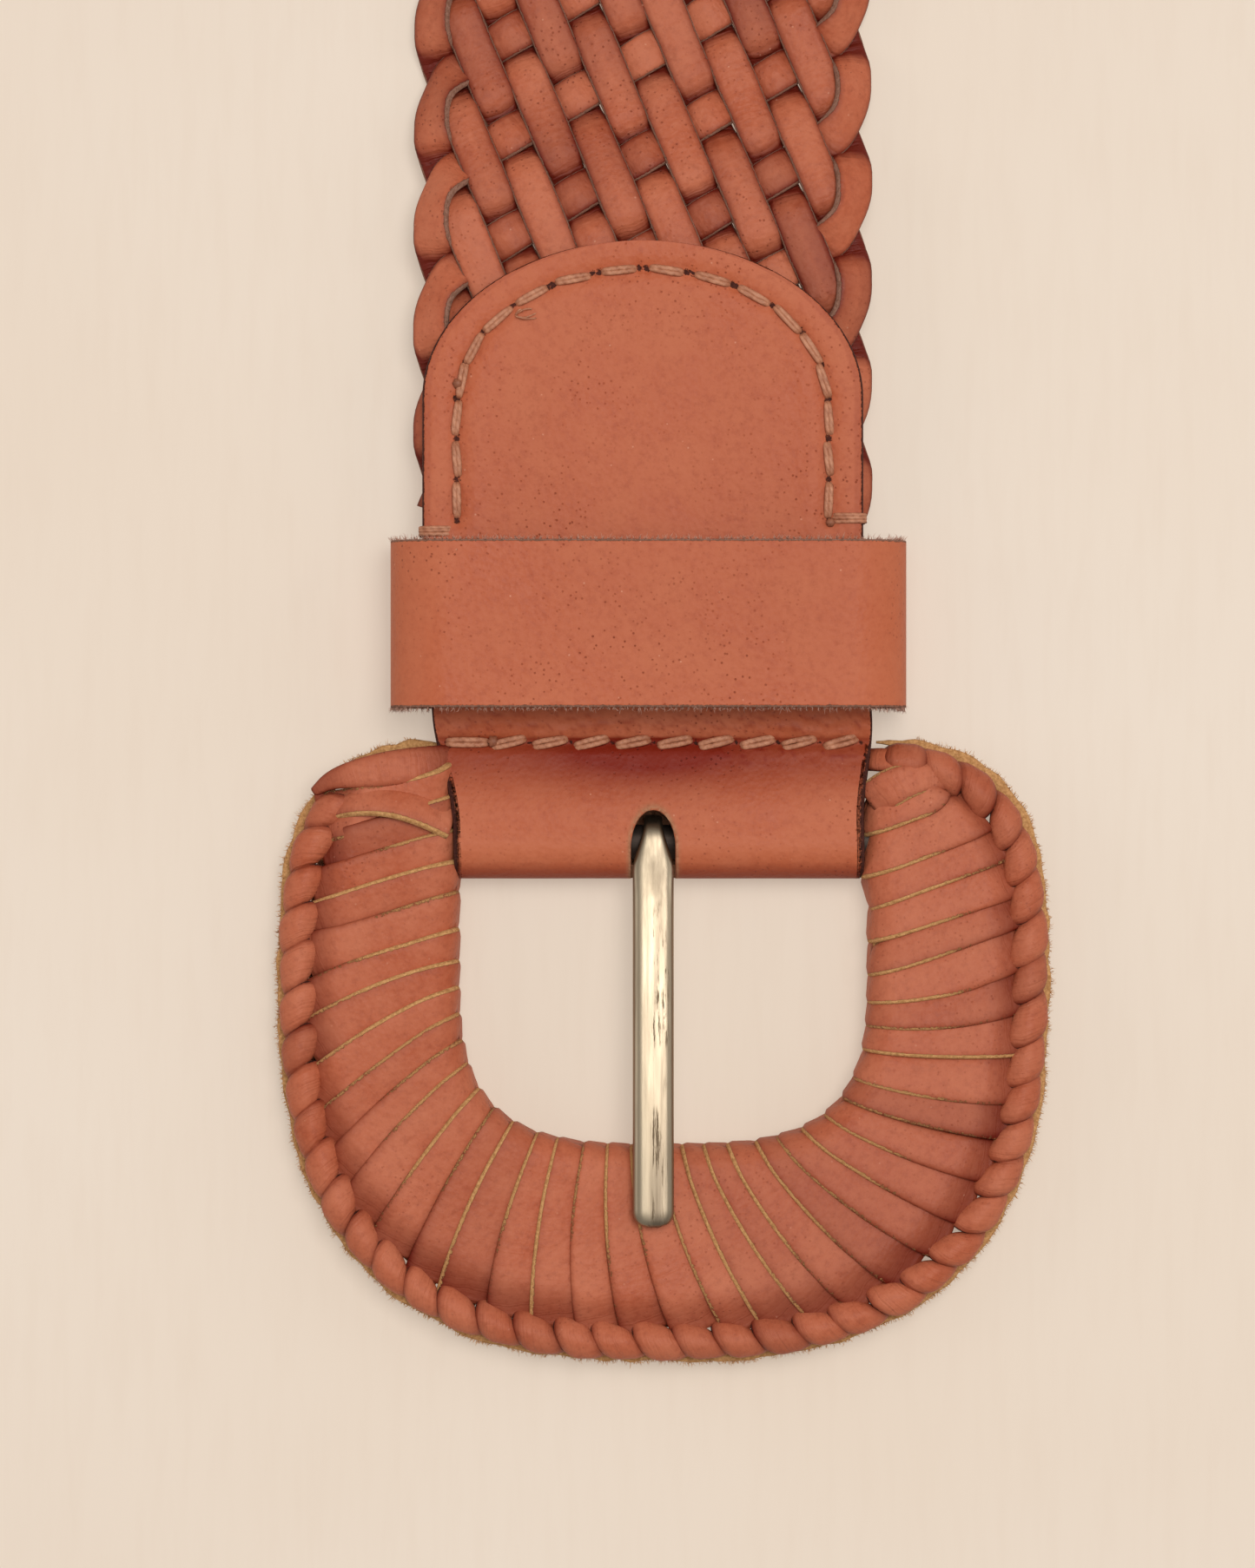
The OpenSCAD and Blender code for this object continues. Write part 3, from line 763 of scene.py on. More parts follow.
# loose laces over the turns' two ends: x, y and z of each point, and the lace's half width there
TOP_RUN = [(-24.5, 9.2, 5.6, 2.0), (-27, 9.0, 7.0, 2.1), (-31.2, 8.5, 7.9, 2.1), (-35.2, 7.9, 7.7, 1.7),
           (-38.2, 7.2, 6.9, 1.1), (-40.0, 5.9, 5.6, 0.6)]
FIRST_TURN = [(-24.4, 2.4, 7.0, 2.3), (-27.5, 3.8, 8.0, 2.2), (-31, 4.7, 8.3, 2.0), (-34.5, 4.7, 8.1, 1.7),
              (-37.5, 3.9, 7.0, 1.2), (-39.5, 2.8, 5.6, 0.8)]
END_TUCK = [(23.5, 9.5, 4.6, 1.3), (25.0, 9.5, 6.0, 1.4), (26.6, 9.3, 6.9, 1.4), (28.5, 9.0, 6.8, 1.0)]
FINAL_TURN = [(23.9, 4.6, 6.4, 2.3), (25.8, 6.2, 7.6, 2.3), (28.4, 7.3, 7.8, 2.0), (31.2, 7.5, 7.0, 1.5),
              (33.4, 6.6, 5.8, 1.1)]


def loose_run(name, points, bank, fray):
    """A lace that lies over the turns at the top of a limb. points are its line, with its half width at each."""
    line = np.array(points)
    for _ in range(4):
        middles = (line[1:] + line[:-1]) / 2
        pairs = np.stack([(line[:-1] + middles) / 2, (line[1:] + middles) / 2], 1).reshape(-1, 4)
        line = np.concatenate([line[:1], pairs, line[-1:]])
    line = evenly(line, 0.5)
    share = np.linspace(0, 1, len(line))
    up = np.array([0.0, 0.3, 1.0]) + np.zeros((len(line), 3))
    # painted shade over the start, where it comes out from under, less where more cut edge shows, and over the
    # end, where it goes under; the edge of 0.5 below darkens its edges with painted shade
    shade = 0.9 * (1 - rise(share, 0.0, 0.3)) * (1 - fray) + 0.5 * rise(share, 0.6, 1)
    across, lift, _, flesh = LOOSE_SECTION
    section = (across, lift, cut_at(across, 0.84, 0.06), flesh)
    mesh = lace_mesh(name, line[:, :3], up, line[:, 3], 0.55, bank, section, shade, 0.5, 0.5, fray)
    run = new_object(mesh.name, mesh, [WRAP])
    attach(run, "buckle")
    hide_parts("wrap_lace")


# ---------------------------------------------------------------- the hitched edge

BEADS = 42
# angles round the edge in degrees, from below its inner side up over the rim to below its outer side
BEAD_TURN = np.linspace(-50, 225, 36)
SWELL_AT, SWELL = [-50, 0, 60, 110, 170, 225], [0.6, 0.84, 1.0, 1.0, 0.92, 0.7]
SHIFT_AT, SHIFT = [-50, 0, 80, 150, 180, 225], [-0.15, -0.12, 0.0, 0.3, 0.42, 0.45]
THICK_AT, THICK = [-50, 0, 45, 90, 140, 180, 225], [0.3, 0.4, 0.75, 0.85, 0.75, 0.45, 0.35]
RIM_Z = 3.4
RIM_FIBRES, KEEPER_FIBRES = 2600, 3200


def rim_line(inset):
    """The buckle's outer edge drawn in by inset, from the top left round to the top right."""
    y = np.linspace(BUCKLE_BACK - inset, BUCKLE_TURN, 90)[:-1]
    share = np.clip((y - BUCKLE_TURN) / (BUCKLE_BACK - BUCKLE_TURN - inset), 0, 1)
    x = SHOULDER_X + (BUCKLE_X - SHOULDER_X - inset) * (1 - share**3) ** (1 / 3)
    angle = np.linspace(math.pi, 2 * math.pi, 181)
    radius = super_radius(angle, BUCKLE_X - inset, BUCKLE_FRONT + BUCKLE_TURN - inset, RIM_POWER)
    front = np.stack([radius * np.cos(angle), BUCKLE_TURN + radius * np.sin(angle)], 1)
    left = np.stack([-x, y], 1)
    return np.concatenate([left, front, left[::-1] * (-1, 1)])


RIM = evenly(rim_line(EDGE_W / 2), 0.4)
RIM_AT = gaps(RIM)
RIM_LEN = RIM_AT[-1]
RIM_START, RIM_END = 17.6, 5.6


def on_rim(s, out):
    """A point s along the rim's middle and out beyond it."""
    s = np.asarray(s, float)
    point = np.stack([np.interp(s, RIM_AT, RIM[:, i]) for i in range(2)], -1)
    ahead = np.stack([np.interp(s + 0.6, RIM_AT, RIM[:, i]) for i in range(2)], -1)
    behind = np.stack([np.interp(s - 0.6, RIM_AT, RIM[:, i]) for i in range(2)], -1)
    way = unit(ahead - behind)
    return point + np.stack([way[..., 1], -way[..., 0]], -1) * np.asarray(out)[..., None]


def edge_bead(i):
    """One plump hitch of the edge lace: over the rim, round it and back under. Its sides sink beside the next."""
    pitch = (RIM_LEN - RIM_START - RIM_END) / BEADS
    s0 = RIM_START + pitch * (i + 0.5) + rng.uniform(-0.05, 0.05) * pitch
    a = np.radians(BEAD_TURN)[:, None]
    across, up, _, _ = (part[None, :] for part in lace_section(30, 0.9))
    swell = smooth_between(BEAD_TURN, SWELL_AT, SWELL)
    half_w = pitch * 0.57 * swell[:, None] * (1 + rng.uniform(-0.06, 0.06))
    sweep = 0.15 if i == BEADS - 1 else 1.0
    shift = sweep * pitch * np.interp(BEAD_TURN, SHIFT_AT, SHIFT)
    s = s0 + shift[:, None] + half_w * across
    thick = np.interp(BEAD_TURN, THICK_AT, THICK)
    lift = (thick[:, None] + rng.uniform(-0.06, 0.06)) * up - 0.2 * across
    out = -0.25 - (1.3 + lift) * np.cos(a) + 0.6 * across * np.clip(np.cos(a), 0, 1)
    z = AXIS_Z + 0.15 + (2.3 + lift) * np.sin(a)
    places = np.concatenate([on_rim(s, out), z[..., None]], -1)
    # random tone, with painted shade where the hitch thins towards its ends and along its edges; the cut mark at
    # its very edges draws dark lines of painted shade between the hitches
    shade = rng.uniform(-0.25, 0.2) + 0.9 * (1 - swell[:, None]) + 0.9 * across**4
    marks = {"cut": cut_at(across, 0.93, 0.07), "flesh": 0.0 * across,
             "along": half_w * across * 1.6 + 20 * i, "shade": shade, "crease": 2.2 - 1.7 * swell[:, None]}
    mesh = skin_mesh(f"edge_hitch_{i + 1:02d}", places, marks)
    bead = new_object(mesh.name, mesh, [HITCH])
    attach(bead, "buckle")
    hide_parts("edge_lace")


def rim_edge():
    """The cut edge of the leather under the hitches, which shows as a thin pale rim outside them."""
    s = np.arange(4.0, RIM_LEN - 4.0, 0.7)
    wave = np.interp(s, np.linspace(0, RIM_LEN, 150), rng.uniform(-0.25, 0.2, 150))
    shoulder = np.exp(-((s - 17) / 9) ** 2) + np.exp(-((s - RIM_LEN + 17) / 12) ** 2)
    out = 1.6 + wave + 0.4 * shoulder
    places = np.concatenate([on_rim(s, out), np.full((len(s), 1), RIM_Z)], 1)
    near_end = np.minimum(s - s[0], s[-1] - s)
    facing = np.array([0, 0, 1.0]) + np.zeros_like(places)
    outline = lace_section(14, 0.0)
    section = (outline[0], outline[1], np.ones(15), np.zeros(15))
    mesh = lace_mesh("rim_edge", places, facing, 0.15 + 0.6 * rise(near_end, 0, 4), 0.55, 0.0, section)
    rim = new_object("rim_edge", mesh, [WRAP])
    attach(rim, "buckle")
    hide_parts("edge_lace")
    roots, ways = [], []
    for _ in range(RIM_FIBRES):
        at = rng.uniform(s[6], s[-7])
        edge = on_rim(at, np.interp(at, s, out) + 0.7 + rng.uniform(-0.15, 0.1))
        root = np.append(edge, RIM_Z + rng.uniform(-0.4, 0.5))
        outward = on_rim(at, 1.0) - on_rim(at, 0.0)
        roots.append(root)
        ways.append(unit(np.append(outward, 0.4) + 0.6 * rng.normal(size=3)))
    fibres = fuzz("rim_fibres", roots, ways, TAN_FIBRE, 0.6, "buckle")


# ---------------------------------------------------------------- chape

SEAM_A, SEAM_B = 20.9, 14.7
SIDE_STITCHES, ARCH_STITCHES = 3, 12
STITCH_PITCH = 4.7
ROW_STITCHES = 10
SLOT_W, SLOT_FROM, SLOT_BACK, SLOT_FRONT = 5.1, -0.6, 3.7, -9.0
TACK_Y = (35.65, 37.15)
STRAIGHT_TO, END_ROWS = 60.6, 8.0
PUCKER_STEP = 4.6


def low_face(y):
    """The height of the chape's underside."""
    return LIFT * rise(y, REST_END, LIFT_END)


def high_face(y):
    """The height of the chape's top: the fold, then the dip at the cross row, then the full thickness."""
    dip = (2 * AXIS_Z - ROW_TOP) * rise(y, REST_END, ROW_Y)
    return 2 * AXIS_Z - dip + (CHAPE_TOP - ROW_TOP) * rise(y, ROW_Y, PLUMP_END)


def middle(y):
    """The chape's middle in X, which moves from the fold's to the strap's."""
    return FOLD_X + (STRAP_X - FOLD_X) * rise(y, REST_END - 6, 37)


def half(y):
    """Half the chape's width, which closes to 0 round the arch."""
    straight = FOLD_W / 2 + (CHAPE_W - FOLD_W) / 2 * rise(y, REST_END, ROW_Y + 3)
    into_arch = np.clip((np.asarray(y, float) - ARCH_Y) / ARCH_LEN, 0, 1)
    return straight * np.sqrt(np.maximum(1 - into_arch**2, 0))


def arch_seam():
    """Middles and directions of the stitches along the arch, from the left side round to the right."""
    side_y = [ARCH_Y - STITCH_PITCH * (i + 0.5) for i in reversed(range(SIDE_STITCHES))]
    places = [np.array([STRAP_X - SEAM_A - 0.4, y]) for y in side_y]
    runs = [np.array([0.0, 1.0])] * SIDE_STITCHES
    for i in range(ARCH_STITCHES):
        t = math.pi * (1 - (i + 0.5) / ARCH_STITCHES)
        places.append(np.array([STRAP_X + SEAM_A * math.cos(t), ARCH_Y + SEAM_B * math.sin(t)]))
        runs.append(unit(np.array([SEAM_A * math.sin(t), -SEAM_B * math.cos(t)])))
    for y in reversed(side_y):
        places.append(np.array([STRAP_X + SEAM_A + 0.4, y]))
        runs.append(np.array([0.0, -1.0]))
    return list(zip(places, runs))


def cross_row():
    """Middles of the stitches across, from the left, and the step between them."""
    start = middle(ROW_Y) - half(ROW_Y) + 1
    step = (2 * half(ROW_Y) - 2) / ROW_STITCHES
    return [np.array([start + step * (i + 0.5), ROW_Y]) for i in range(ROW_STITCHES)], step


def seam_points():
    """The holes at the ends of the arch's stitches."""
    return np.array([place + run * side * STITCH_PITCH / 2 for place, run in arch_seam() for side in (-1, 1)])


def row_holes():
    """The holes at the ends of the cross row's stitches."""
    places, step = cross_row()
    return np.array([place + np.array([side * step / 2, 0]) for place in places for side in (-1, 1)])


def segment_distance(points, starts, ends):
    """The distance from each point to the nearest of several straight lines."""
    best = np.full(len(points), 1e9)
    for a, b in zip(starts, ends):
        way = b - a
        share = np.clip(((points - a) @ way) / (way @ way), 0, 1)
        best = np.minimum(best, np.linalg.norm(points - a - share[:, None] * way, axis=1))
    return best


def ripple(points, scale, seed):
    """Smooth noise at each point, between about -1 and 1."""
    return np.array([noise.noise(Vector((x * scale + seed, y * scale, 0.37 * seed))) for x, y in points])


def bell(distance, reach):
    """1 at no distance, falling smoothly away."""
    return np.exp(-(distance / reach) ** 2)


def seam_dents(points):
    """How far the chape's face is drawn in at its seams, and how much painted shade darkens its holes and seam
    lines.
    """
    seam = arch_seam()
    starts = np.array([place - run * 2.2 for place, run in seam])
    ends = np.array([place + run * 2.2 for place, run in seam])
    from_seam = segment_distance(points, starts, ends)
    from_hole = nearest(points, np.concatenate([seam_points(), row_holes()]))
    dip = -0.26 * bell(from_seam, 0.95) - 0.3 * bell(from_hole, 0.45)
    dip += 0.09 * bell(from_seam - 2.2, 1.1)
    dip += -0.75 * bell(np.abs(points[:, 1] - ROW_Y), 0.75)
    dark = 0.75 * bell(from_hole, 0.34) + 0.3 * bell(from_seam, 0.6)
    return dip, np.clip(dark, 0, 1)


def chape_dents(points, top):
    """How far the chape's face rises or sinks at its points seen from above, how much painted shade darkens its
    holes and how deep its tone is. Sharp wrinkles run across behind the cross row and, on the right, before it.
    The tone is painted shade on the slope down into the cross row and in the wrinkles' creases, and darker along
    the edges beyond 33 mm."""
    dip, dark = seam_dents(points)
    x, y = points.T
    behind = np.clip((y - ROW_Y) / 1.2, 0, 1) * np.clip((17.0 - y) / 3.0, 0, 1)
    before = np.clip((ROW_Y - y) / 1.0, 0, 1) * np.clip((y - 7.0) / 3.0, 0, 1)
    drawn_out = points * (0.32, 1.5)
    wrinkle = ripple(drawn_out, 1.0, 3.0) + 0.6 * ripple(drawn_out, 2.1, 9.0)
    sharp = -np.abs(wrinkle) ** 0.6
    right_side = ease((x + 2) / 14)
    dip += 0.5 * behind * (sharp + 0.35) + 0.2 * before * right_side * sharp
    dip += 0.07 * (bell(y - ROW_Y + 1.6, 1.4) * np.cos((x - 1.0) * 2 * math.pi / PUCKER_STEP))
    dip += 0.05 * ripple(points, 0.12, 5.0)
    # painted shade on the slope down into the cross row, strongest near the middle
    under_row = bell(y - ROW_Y + 1.2, 4.0) * (y < ROW_Y + 0.5)
    shade = 1.25 * (0.5 + 0.5 * bell(x + 2, 11)) * under_row
    # painted shade in the wrinkles' creases, behind the row and on the right before it
    painted_crease_shade = bell(np.abs(wrinkle), 0.09)
    shade = shade + behind * (0.12 + 0.4 * painted_crease_shade) + 0.25 * before * right_side * painted_crease_shade
    edge = np.abs(x - middle(y)) > half(y) - 0.9
    shade = shade + 0.22 * edge * (y > 33)
    return np.where(top, dip, 0.3 * dip), dark, shade


def arch_rows(n):
    """Places along the chape from its arched end inwards, closer at the end."""
    return CHAPE_REACH - 0.02 - END_ROWS * np.linspace(0, 1, n) ** 2


def chape_profile():
    """The fold seen from the side: the middle of its thickness in Y and Z with its facing, from the arch forward
    over the bar and back below. Gives also how many of its rows are on top."""
    over_rows = np.concatenate([arch_rows(26), np.arange(STRAIGHT_TO, 0.2, -0.42)])
    over = [(y, high_face(y) - PLY / 2) for y in over_rows]
    radius = AXIS_Z - PLY / 2
    around = [(-radius * math.sin(a), AXIS_Z + radius * math.cos(a)) for a in np.linspace(0, math.pi, 40)]
    under_rows = np.concatenate([np.arange(0.5, STRAIGHT_TO, 1.0), arch_rows(20)[::-1]])
    under = [(y, low_face(y) + PLY / 2) for y in under_rows]
    line = np.array(over + around + under)
    way = unit(np.gradient(line, axis=0))
    return line, np.stack([way[:, 1], -way[:, 0]], 1), len(over)


def chape_outline():
    """The chape's section, as points across and up from -1 to 1: grain side, right edge, flesh side, left edge."""
    wall = np.array([0.8, math.sqrt(0.5), 0, -math.sqrt(0.5), -0.8])
    across = np.concatenate([np.linspace(-1, 1, 150), np.ones(5), np.linspace(1, -1, 40), -np.ones(6)])
    up = np.concatenate([np.ones(150), wall, -np.ones(40), -wall, [1.0]])
    return across, up


def chape_skin(y, across, up):
    """The chape's X at each ring and section point: its edges bulge a little and their corners are worn round."""
    at_side = np.abs(across) == 1.0
    bulge = np.where(at_side, 0.18 * (1 - np.abs(up) ** 2), 0.0)
    x = middle(y)[:, None] + across[None, :] * half(y)[:, None]
    x = x + np.sign(across)[None, :] * bulge[None, :]
    worn = 0.2 + 0.5 * (1 - rise(y, 9.0, 12.5))
    return x - np.sign(across)[None, :] * (worn[:, None] * (at_side * (np.abs(up) >= 1.0))[None, :])


def slot_rim(flat):
    """How near points seen from above are to the edge of the prong's slot."""
    slot_y = np.maximum(flat[:, 1] - SLOT_FROM, 0) * (SLOT_W / 2) / (SLOT_BACK - SLOT_FROM)
    return bell(np.abs(np.hypot(slot_y, flat[:, 0] - PRONG_X) - SLOT_W / 2), 0.38)


def chape():
    """The leather folded round the bar, one piece from its arched top to its arched back, with its slot."""
    line, facing, top_rows = chape_profile()
    across, up = chape_outline()
    y, z = line.T
    face_y, face_z = facing[:, :1], facing[:, 1:]
    x = chape_skin(y, across, up)
    thick = up * PLY / 2
    py = y[:, None] + face_y * thick[None, :]
    pz = z[:, None] + face_z * thick[None, :]
    grain = (up > 0.9)[None, :] & np.ones((len(y), 1), bool)
    flat = np.stack([x.ravel(), py.ravel()], 1)
    is_top = np.zeros(x.shape, bool)
    is_top[:top_rows] = True
    dip, dark, shade = chape_dents(flat, is_top.ravel())
    dip, dark, shade = (v.reshape(x.shape) * grain for v in (dip, dark, shade))
    shade = np.where(is_top, shade, 0.0)
    # painted shade on the front of the fold, where it turns down round the bar, and a painted highlight along its
    # crest
    shade = shade + 0.6 * (bell(py + 3.9, 1.3) * grain) - 0.45 * bell(py + 0.6, 1.4) * grain
    py = py + face_y * dip
    pz = pz + face_z * dip
    rim = 1.2 * slot_rim(flat).reshape(x.shape) * grain * (py < SLOT_BACK + 1)
    inner = np.broadcast_to(up < -0.9, x.shape)
    edge_side = np.broadcast_to(np.abs(up) < 0.95, x.shape)
    # the painted shade of the holes and seams goes into the cut mark, so it takes the dark cut colour
    marks = {"cut": np.maximum(dark, edge_side * 1.0), "flesh": np.maximum(inner * 1.0, rim), "shade": shade}
    mesh = skin_mesh("chape_leather", np.stack([x, py, pz], -1), marks)
    piece = new_object("chape_leather", mesh, [LEATHER, RAW])
    cut_slot(piece)
    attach(piece, "strap")
    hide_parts("chape")


def slot_outline(half_width, start, back):
    """The slot seen from above: open before the fold, with a round end whose middle is at start."""
    ring = [(PRONG_X - half_width, SLOT_FRONT), (PRONG_X + half_width, SLOT_FRONT)]
    for angle in np.linspace(0, math.pi, 25):
        ring.append((PRONG_X + half_width * math.cos(angle), start + (back - start) * math.sin(angle)))
    return ring


def cut_slot(piece):
    """Cuts the prong's slot: wide through the top of the fold, and only as wide as the curl below it."""
    for ring, low, high in ((slot_outline(SLOT_W / 2, SLOT_FROM, SLOT_BACK), AXIS_Z - 0.6, 14.0),
                            (slot_outline(1.5, 0.6, 2.0), -2.0, AXIS_Z)):
        bm = bmesh.new()
        face = bm.faces.new([bm.verts.new((x * MM, y * MM, low * MM)) for x, y in ring])
        grown = bmesh.ops.extrude_face_region(bm, geom=[face])
        raised = [v for v in grown["geom"] if isinstance(v, bmesh.types.BMVert)]
        bmesh.ops.translate(bm, verts=raised, vec=(0, 0, (high - low) * MM))
        bmesh.ops.recalc_face_normals(bm, faces=bm.faces)
        for wall in bm.faces:
            wall.material_index = 1
        mesh = bpy.data.meshes.new("slot_cutter")
        bm.to_mesh(mesh)
        bm.free()
        cutter = new_object("slot_cutter", mesh, [LEATHER, RAW], smooth=False)
        cut = piece.modifiers.new("slot", "BOOLEAN")
        cut.operation = "DIFFERENCE"
        cut.solver = "EXACT"
        cut.object = cutter
        bpy.context.view_layer.update()
        done = bpy.data.meshes.new_from_object(piece.evaluated_get(bpy.context.evaluated_depsgraph_get()))
        piece.modifiers.clear()
        old = piece.data
        piece.data = done
        bpy.data.meshes.remove(old)
        bpy.data.objects.remove(cutter)


# ---------------------------------------------------------------- thread


STRAND_FLAT, PLY_STEP, KNOT_DARK = 0.75, 0.95, 2.4


def strand_mesh(name, line, radius, ply=0.0):
    """A length of thread along a line, its ends drawn in. ply is where its twist starts."""
    line = evenly(line, 0.22)
    along = gaps(line)
    end = np.minimum(along, along[-1] - along)
    size = radius * np.sqrt(np.clip(end / (radius * 1.6), 0.06, 1))
    turn = 2 * np.pi * np.arange(9) / 8
    section = (np.cos(turn), np.sin(turn), np.zeros(9), np.zeros(9))
    up = np.array([0, 0, 1.0]) + np.zeros_like(line)
    mesh = lace_mesh(name, line, up, size, size * STRAND_FLAT, section=section)
    co = corners_of(mesh) / MM
    wave = 0.5 + 0.5 * np.sin((co[:, 0] + 0.8 * co[:, 1]) * 2 * math.pi / PLY_STEP + ply)
    set_mark(mesh, "ply", wave**3)
    return mesh


def stitch_pair(place, run, length, surface, spread=0.23, radius=0.28, dive=-0.75):
    """Two strands side by side on the leather. Their ends go into their holes: down, or up if dive is positive."""
    side = np.array([-run[1], run[0]])
    meshes = []
    for sign in (-1, 1):
        skew = rng.uniform(-0.08, 0.08)
        t = np.linspace(-1, 1, 15)
        bow = spread * (1 - 0.55 * np.abs(t) ** 3)
        flat = place + t[:, None] * run * length / 2 + side * (sign * bow + skew * t)[:, None]
        z = surface + 0.2 + dive * np.clip(np.abs(t) - 0.78, 0, 1) / 0.22 + 0.1 * (1 - t**2)
        line = np.concatenate([flat, z[:, None]], 1)
        meshes.append(strand_mesh("strand", line, radius, rng.uniform(0, 6)))
    return meshes


def knot(place, surface, size=0.6):
    """A small wound knot of thread."""
    meshes = []
    for turn in np.linspace(0, math.pi, 4)[:-1]:
        t = np.linspace(-1, 1, 12)
        way = np.array([math.cos(turn), math.sin(turn)])
        flat = place + size * t[:, None] * way
        z = surface + 0.45 * (1 - t**2) + 0.12 * math.sin(3 * turn)
        mesh = strand_mesh("turn", np.concatenate([flat, z[:, None]], 1), 0.34)
        set_mark(mesh, "ply", np.full(len(mesh.vertices), KNOT_DARK))
        meshes.append(mesh)
    return meshes


def loose_tail(start, end, surface, bend):
    """A thin end of thread that lies loose on the leather."""
    t = np.linspace(0, 1, 14)
    flat = start + (end - start) * t[:, None] + np.outer(np.sin(t * math.pi), bend)
    z = surface + 0.15 + 0.5 * np.sin(t * math.pi)
    return strand_mesh("tail", np.concatenate([flat, z[:, None]], 1), 0.09)


def thread_piece(name, meshes, node, body="strap"):
    """All the thread of one seam as one piece."""
    piece = new_object(name, join_meshes(name, meshes), [SEWING])
    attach(piece, body)
    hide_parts(node)


def rotated(way, angle):
    """A direction turned by an angle."""
    c, s = math.cos(angle), math.sin(angle)
    return np.array([way[0] * c - way[1] * s, way[0] * s + way[1] * c])


def arch_stitching():
    """The seam round the arch, on both faces, with its knot on the left and a tuft of loose ends."""
    meshes = []
    for place, run in arch_seam():
        turned = rotated(run, math.radians(rng.uniform(-7, 7)))
        meshes += stitch_pair(place, turned, 4.15 + rng.uniform(-0.2, 0.2), CHAPE_TOP - 0.16)
        meshes += stitch_pair(place, turned, 3.9, LIFT - 0.42, dive=0.8)
    left_knot = np.array([STRAP_X - SEAM_A - 0.3, ARCH_Y + 1.6])
    meshes += knot(left_knot, CHAPE_TOP - 0.1)
    tuft = np.array([STRAP_X - 14.6, ARCH_Y + 9.4])
    for _ in range(5):
        bend = rng.uniform(-0.5, 0.5, 2)
        meshes.append(loose_tail(tuft, tuft + rng.uniform((0.6, -0.4), (3.0, 1.0)), CHAPE_TOP, bend))
    thread_piece("arch_stitching", meshes, "stitch_arch")


def cross_stitching():
    """The row of slanted stitches behind the fold, with a knot near its left end."""
    places, step = cross_row()
    meshes = []
    for i, place in enumerate(places):
        lean = math.radians(0 if i == 0 else 12 + rng.uniform(-3, 3))
        run = np.array([math.cos(lean), math.sin(lean)])
        length = step - 0.6 if i else step + 0.3
        meshes += stitch_pair(place, run, length, ROW_TOP - 0.42, spread=0.3, radius=0.31)
        meshes += stitch_pair(place, run * (1, -1), step - 0.8, LIFT - 0.42, dive=0.8)
    meshes += knot(places[0] + (step / 2 + 0.6, 0.1), ROW_TOP - 0.45, 0.7)
    thread_piece("cross_stitching", meshes, "stitch_cross")


# a tack's way from the top over the edge and back below: how far in from the edge, and its height
TACK_IN = np.array([3.5, 2.6, 1.3, 0.2, -0.42, -0.45, -0.45, -0.4, 0.2, 1.3, 3.0])
TACK_Z = np.array([CHAPE_TOP - 0.5, CHAPE_TOP + 0.1, CHAPE_TOP + 0.18, CHAPE_TOP + 0.16, CHAPE_TOP - 0.5, 6.5,
                   4.5, LIFT + 0.5, LIFT - 0.2, LIFT - 0.2, LIFT - 0.2])


def tack_stitching():
    """The tacks over the chape's two edges, beside the keeper."""
    meshes = []
    for side, y in zip((-1, 1), TACK_Y):
        edge = middle(y) + side * half(y)
        for shift in (-0.32, 0.02, 0.36):
            slip = rng.uniform(-0.15, 0.15)
            across = y + shift + slip * np.linspace(1, -1, len(TACK_IN))
            run = np.stack([edge - side * TACK_IN, across, TACK_Z], 1)
            meshes.append(strand_mesh("tack", evenly(run, 0.5), 0.24))
        if side == 1:
            meshes += knot(np.array([edge - 3.6, y - 0.5]), CHAPE_TOP - 0.15, 0.5)
    thread_piece("tack_stitching", meshes, "stitch_tacks")


# ---------------------------------------------------------------- keeper

KEEPER_T = 1.4
KEEPER_LOW_R, KEEPER_HIGH_R = 4.4, 6.5


def strip_outline(top_points, under_points, walls):
    """A strap's section across and up from -1 to 1. walls are its right edge's points, from the grain down."""
    grain = [(share, 1.0) for share in np.linspace(1, -1, top_points)]
    left = [(-across, up) for across, up in walls]
    back = [(share, -1.0) for share in np.linspace(-1, 1, under_points)]
    return np.array(grain + left + back + list(reversed(walls)) + grain[:1])


def keeper_path():
    """The middle of the loop's leather in X and Z, from its seam under the belt round to the seam again."""
    w = (KEEPER_HIGH[0] - KEEPER_LOW[0]) / 2 - KEEPER_T / 2
    top, low = KEEPER_HIGH[2] - KEEPER_T / 2, KEEPER_T / 2
    r, s = KEEPER_LOW_R - KEEPER_T / 2, KEEPER_HIGH_R - KEEPER_T / 2
    points = [(0.15, low), (w - r, low)]
    points += [(w - r + r * math.cos(a), low + r + r * math.sin(a)) for a in np.linspace(-math.pi / 2, 0, 14)]
    points += [(w - s + s * math.cos(a), top - s + s * math.sin(a)) for a in np.linspace(0, math.pi / 2, 18)]
    line = np.array(points + [(0, top)])
    line = np.concatenate([line, line[::-1][1:] * (-1, 1)])
    line = evenly(line, 0.7)
    bow = 0.25 * np.exp(-((np.abs(line[:, 0]) - w) / 3.0) ** 2)
    line[:, 0] += np.sign(line[:, 0]) * bow
    return line


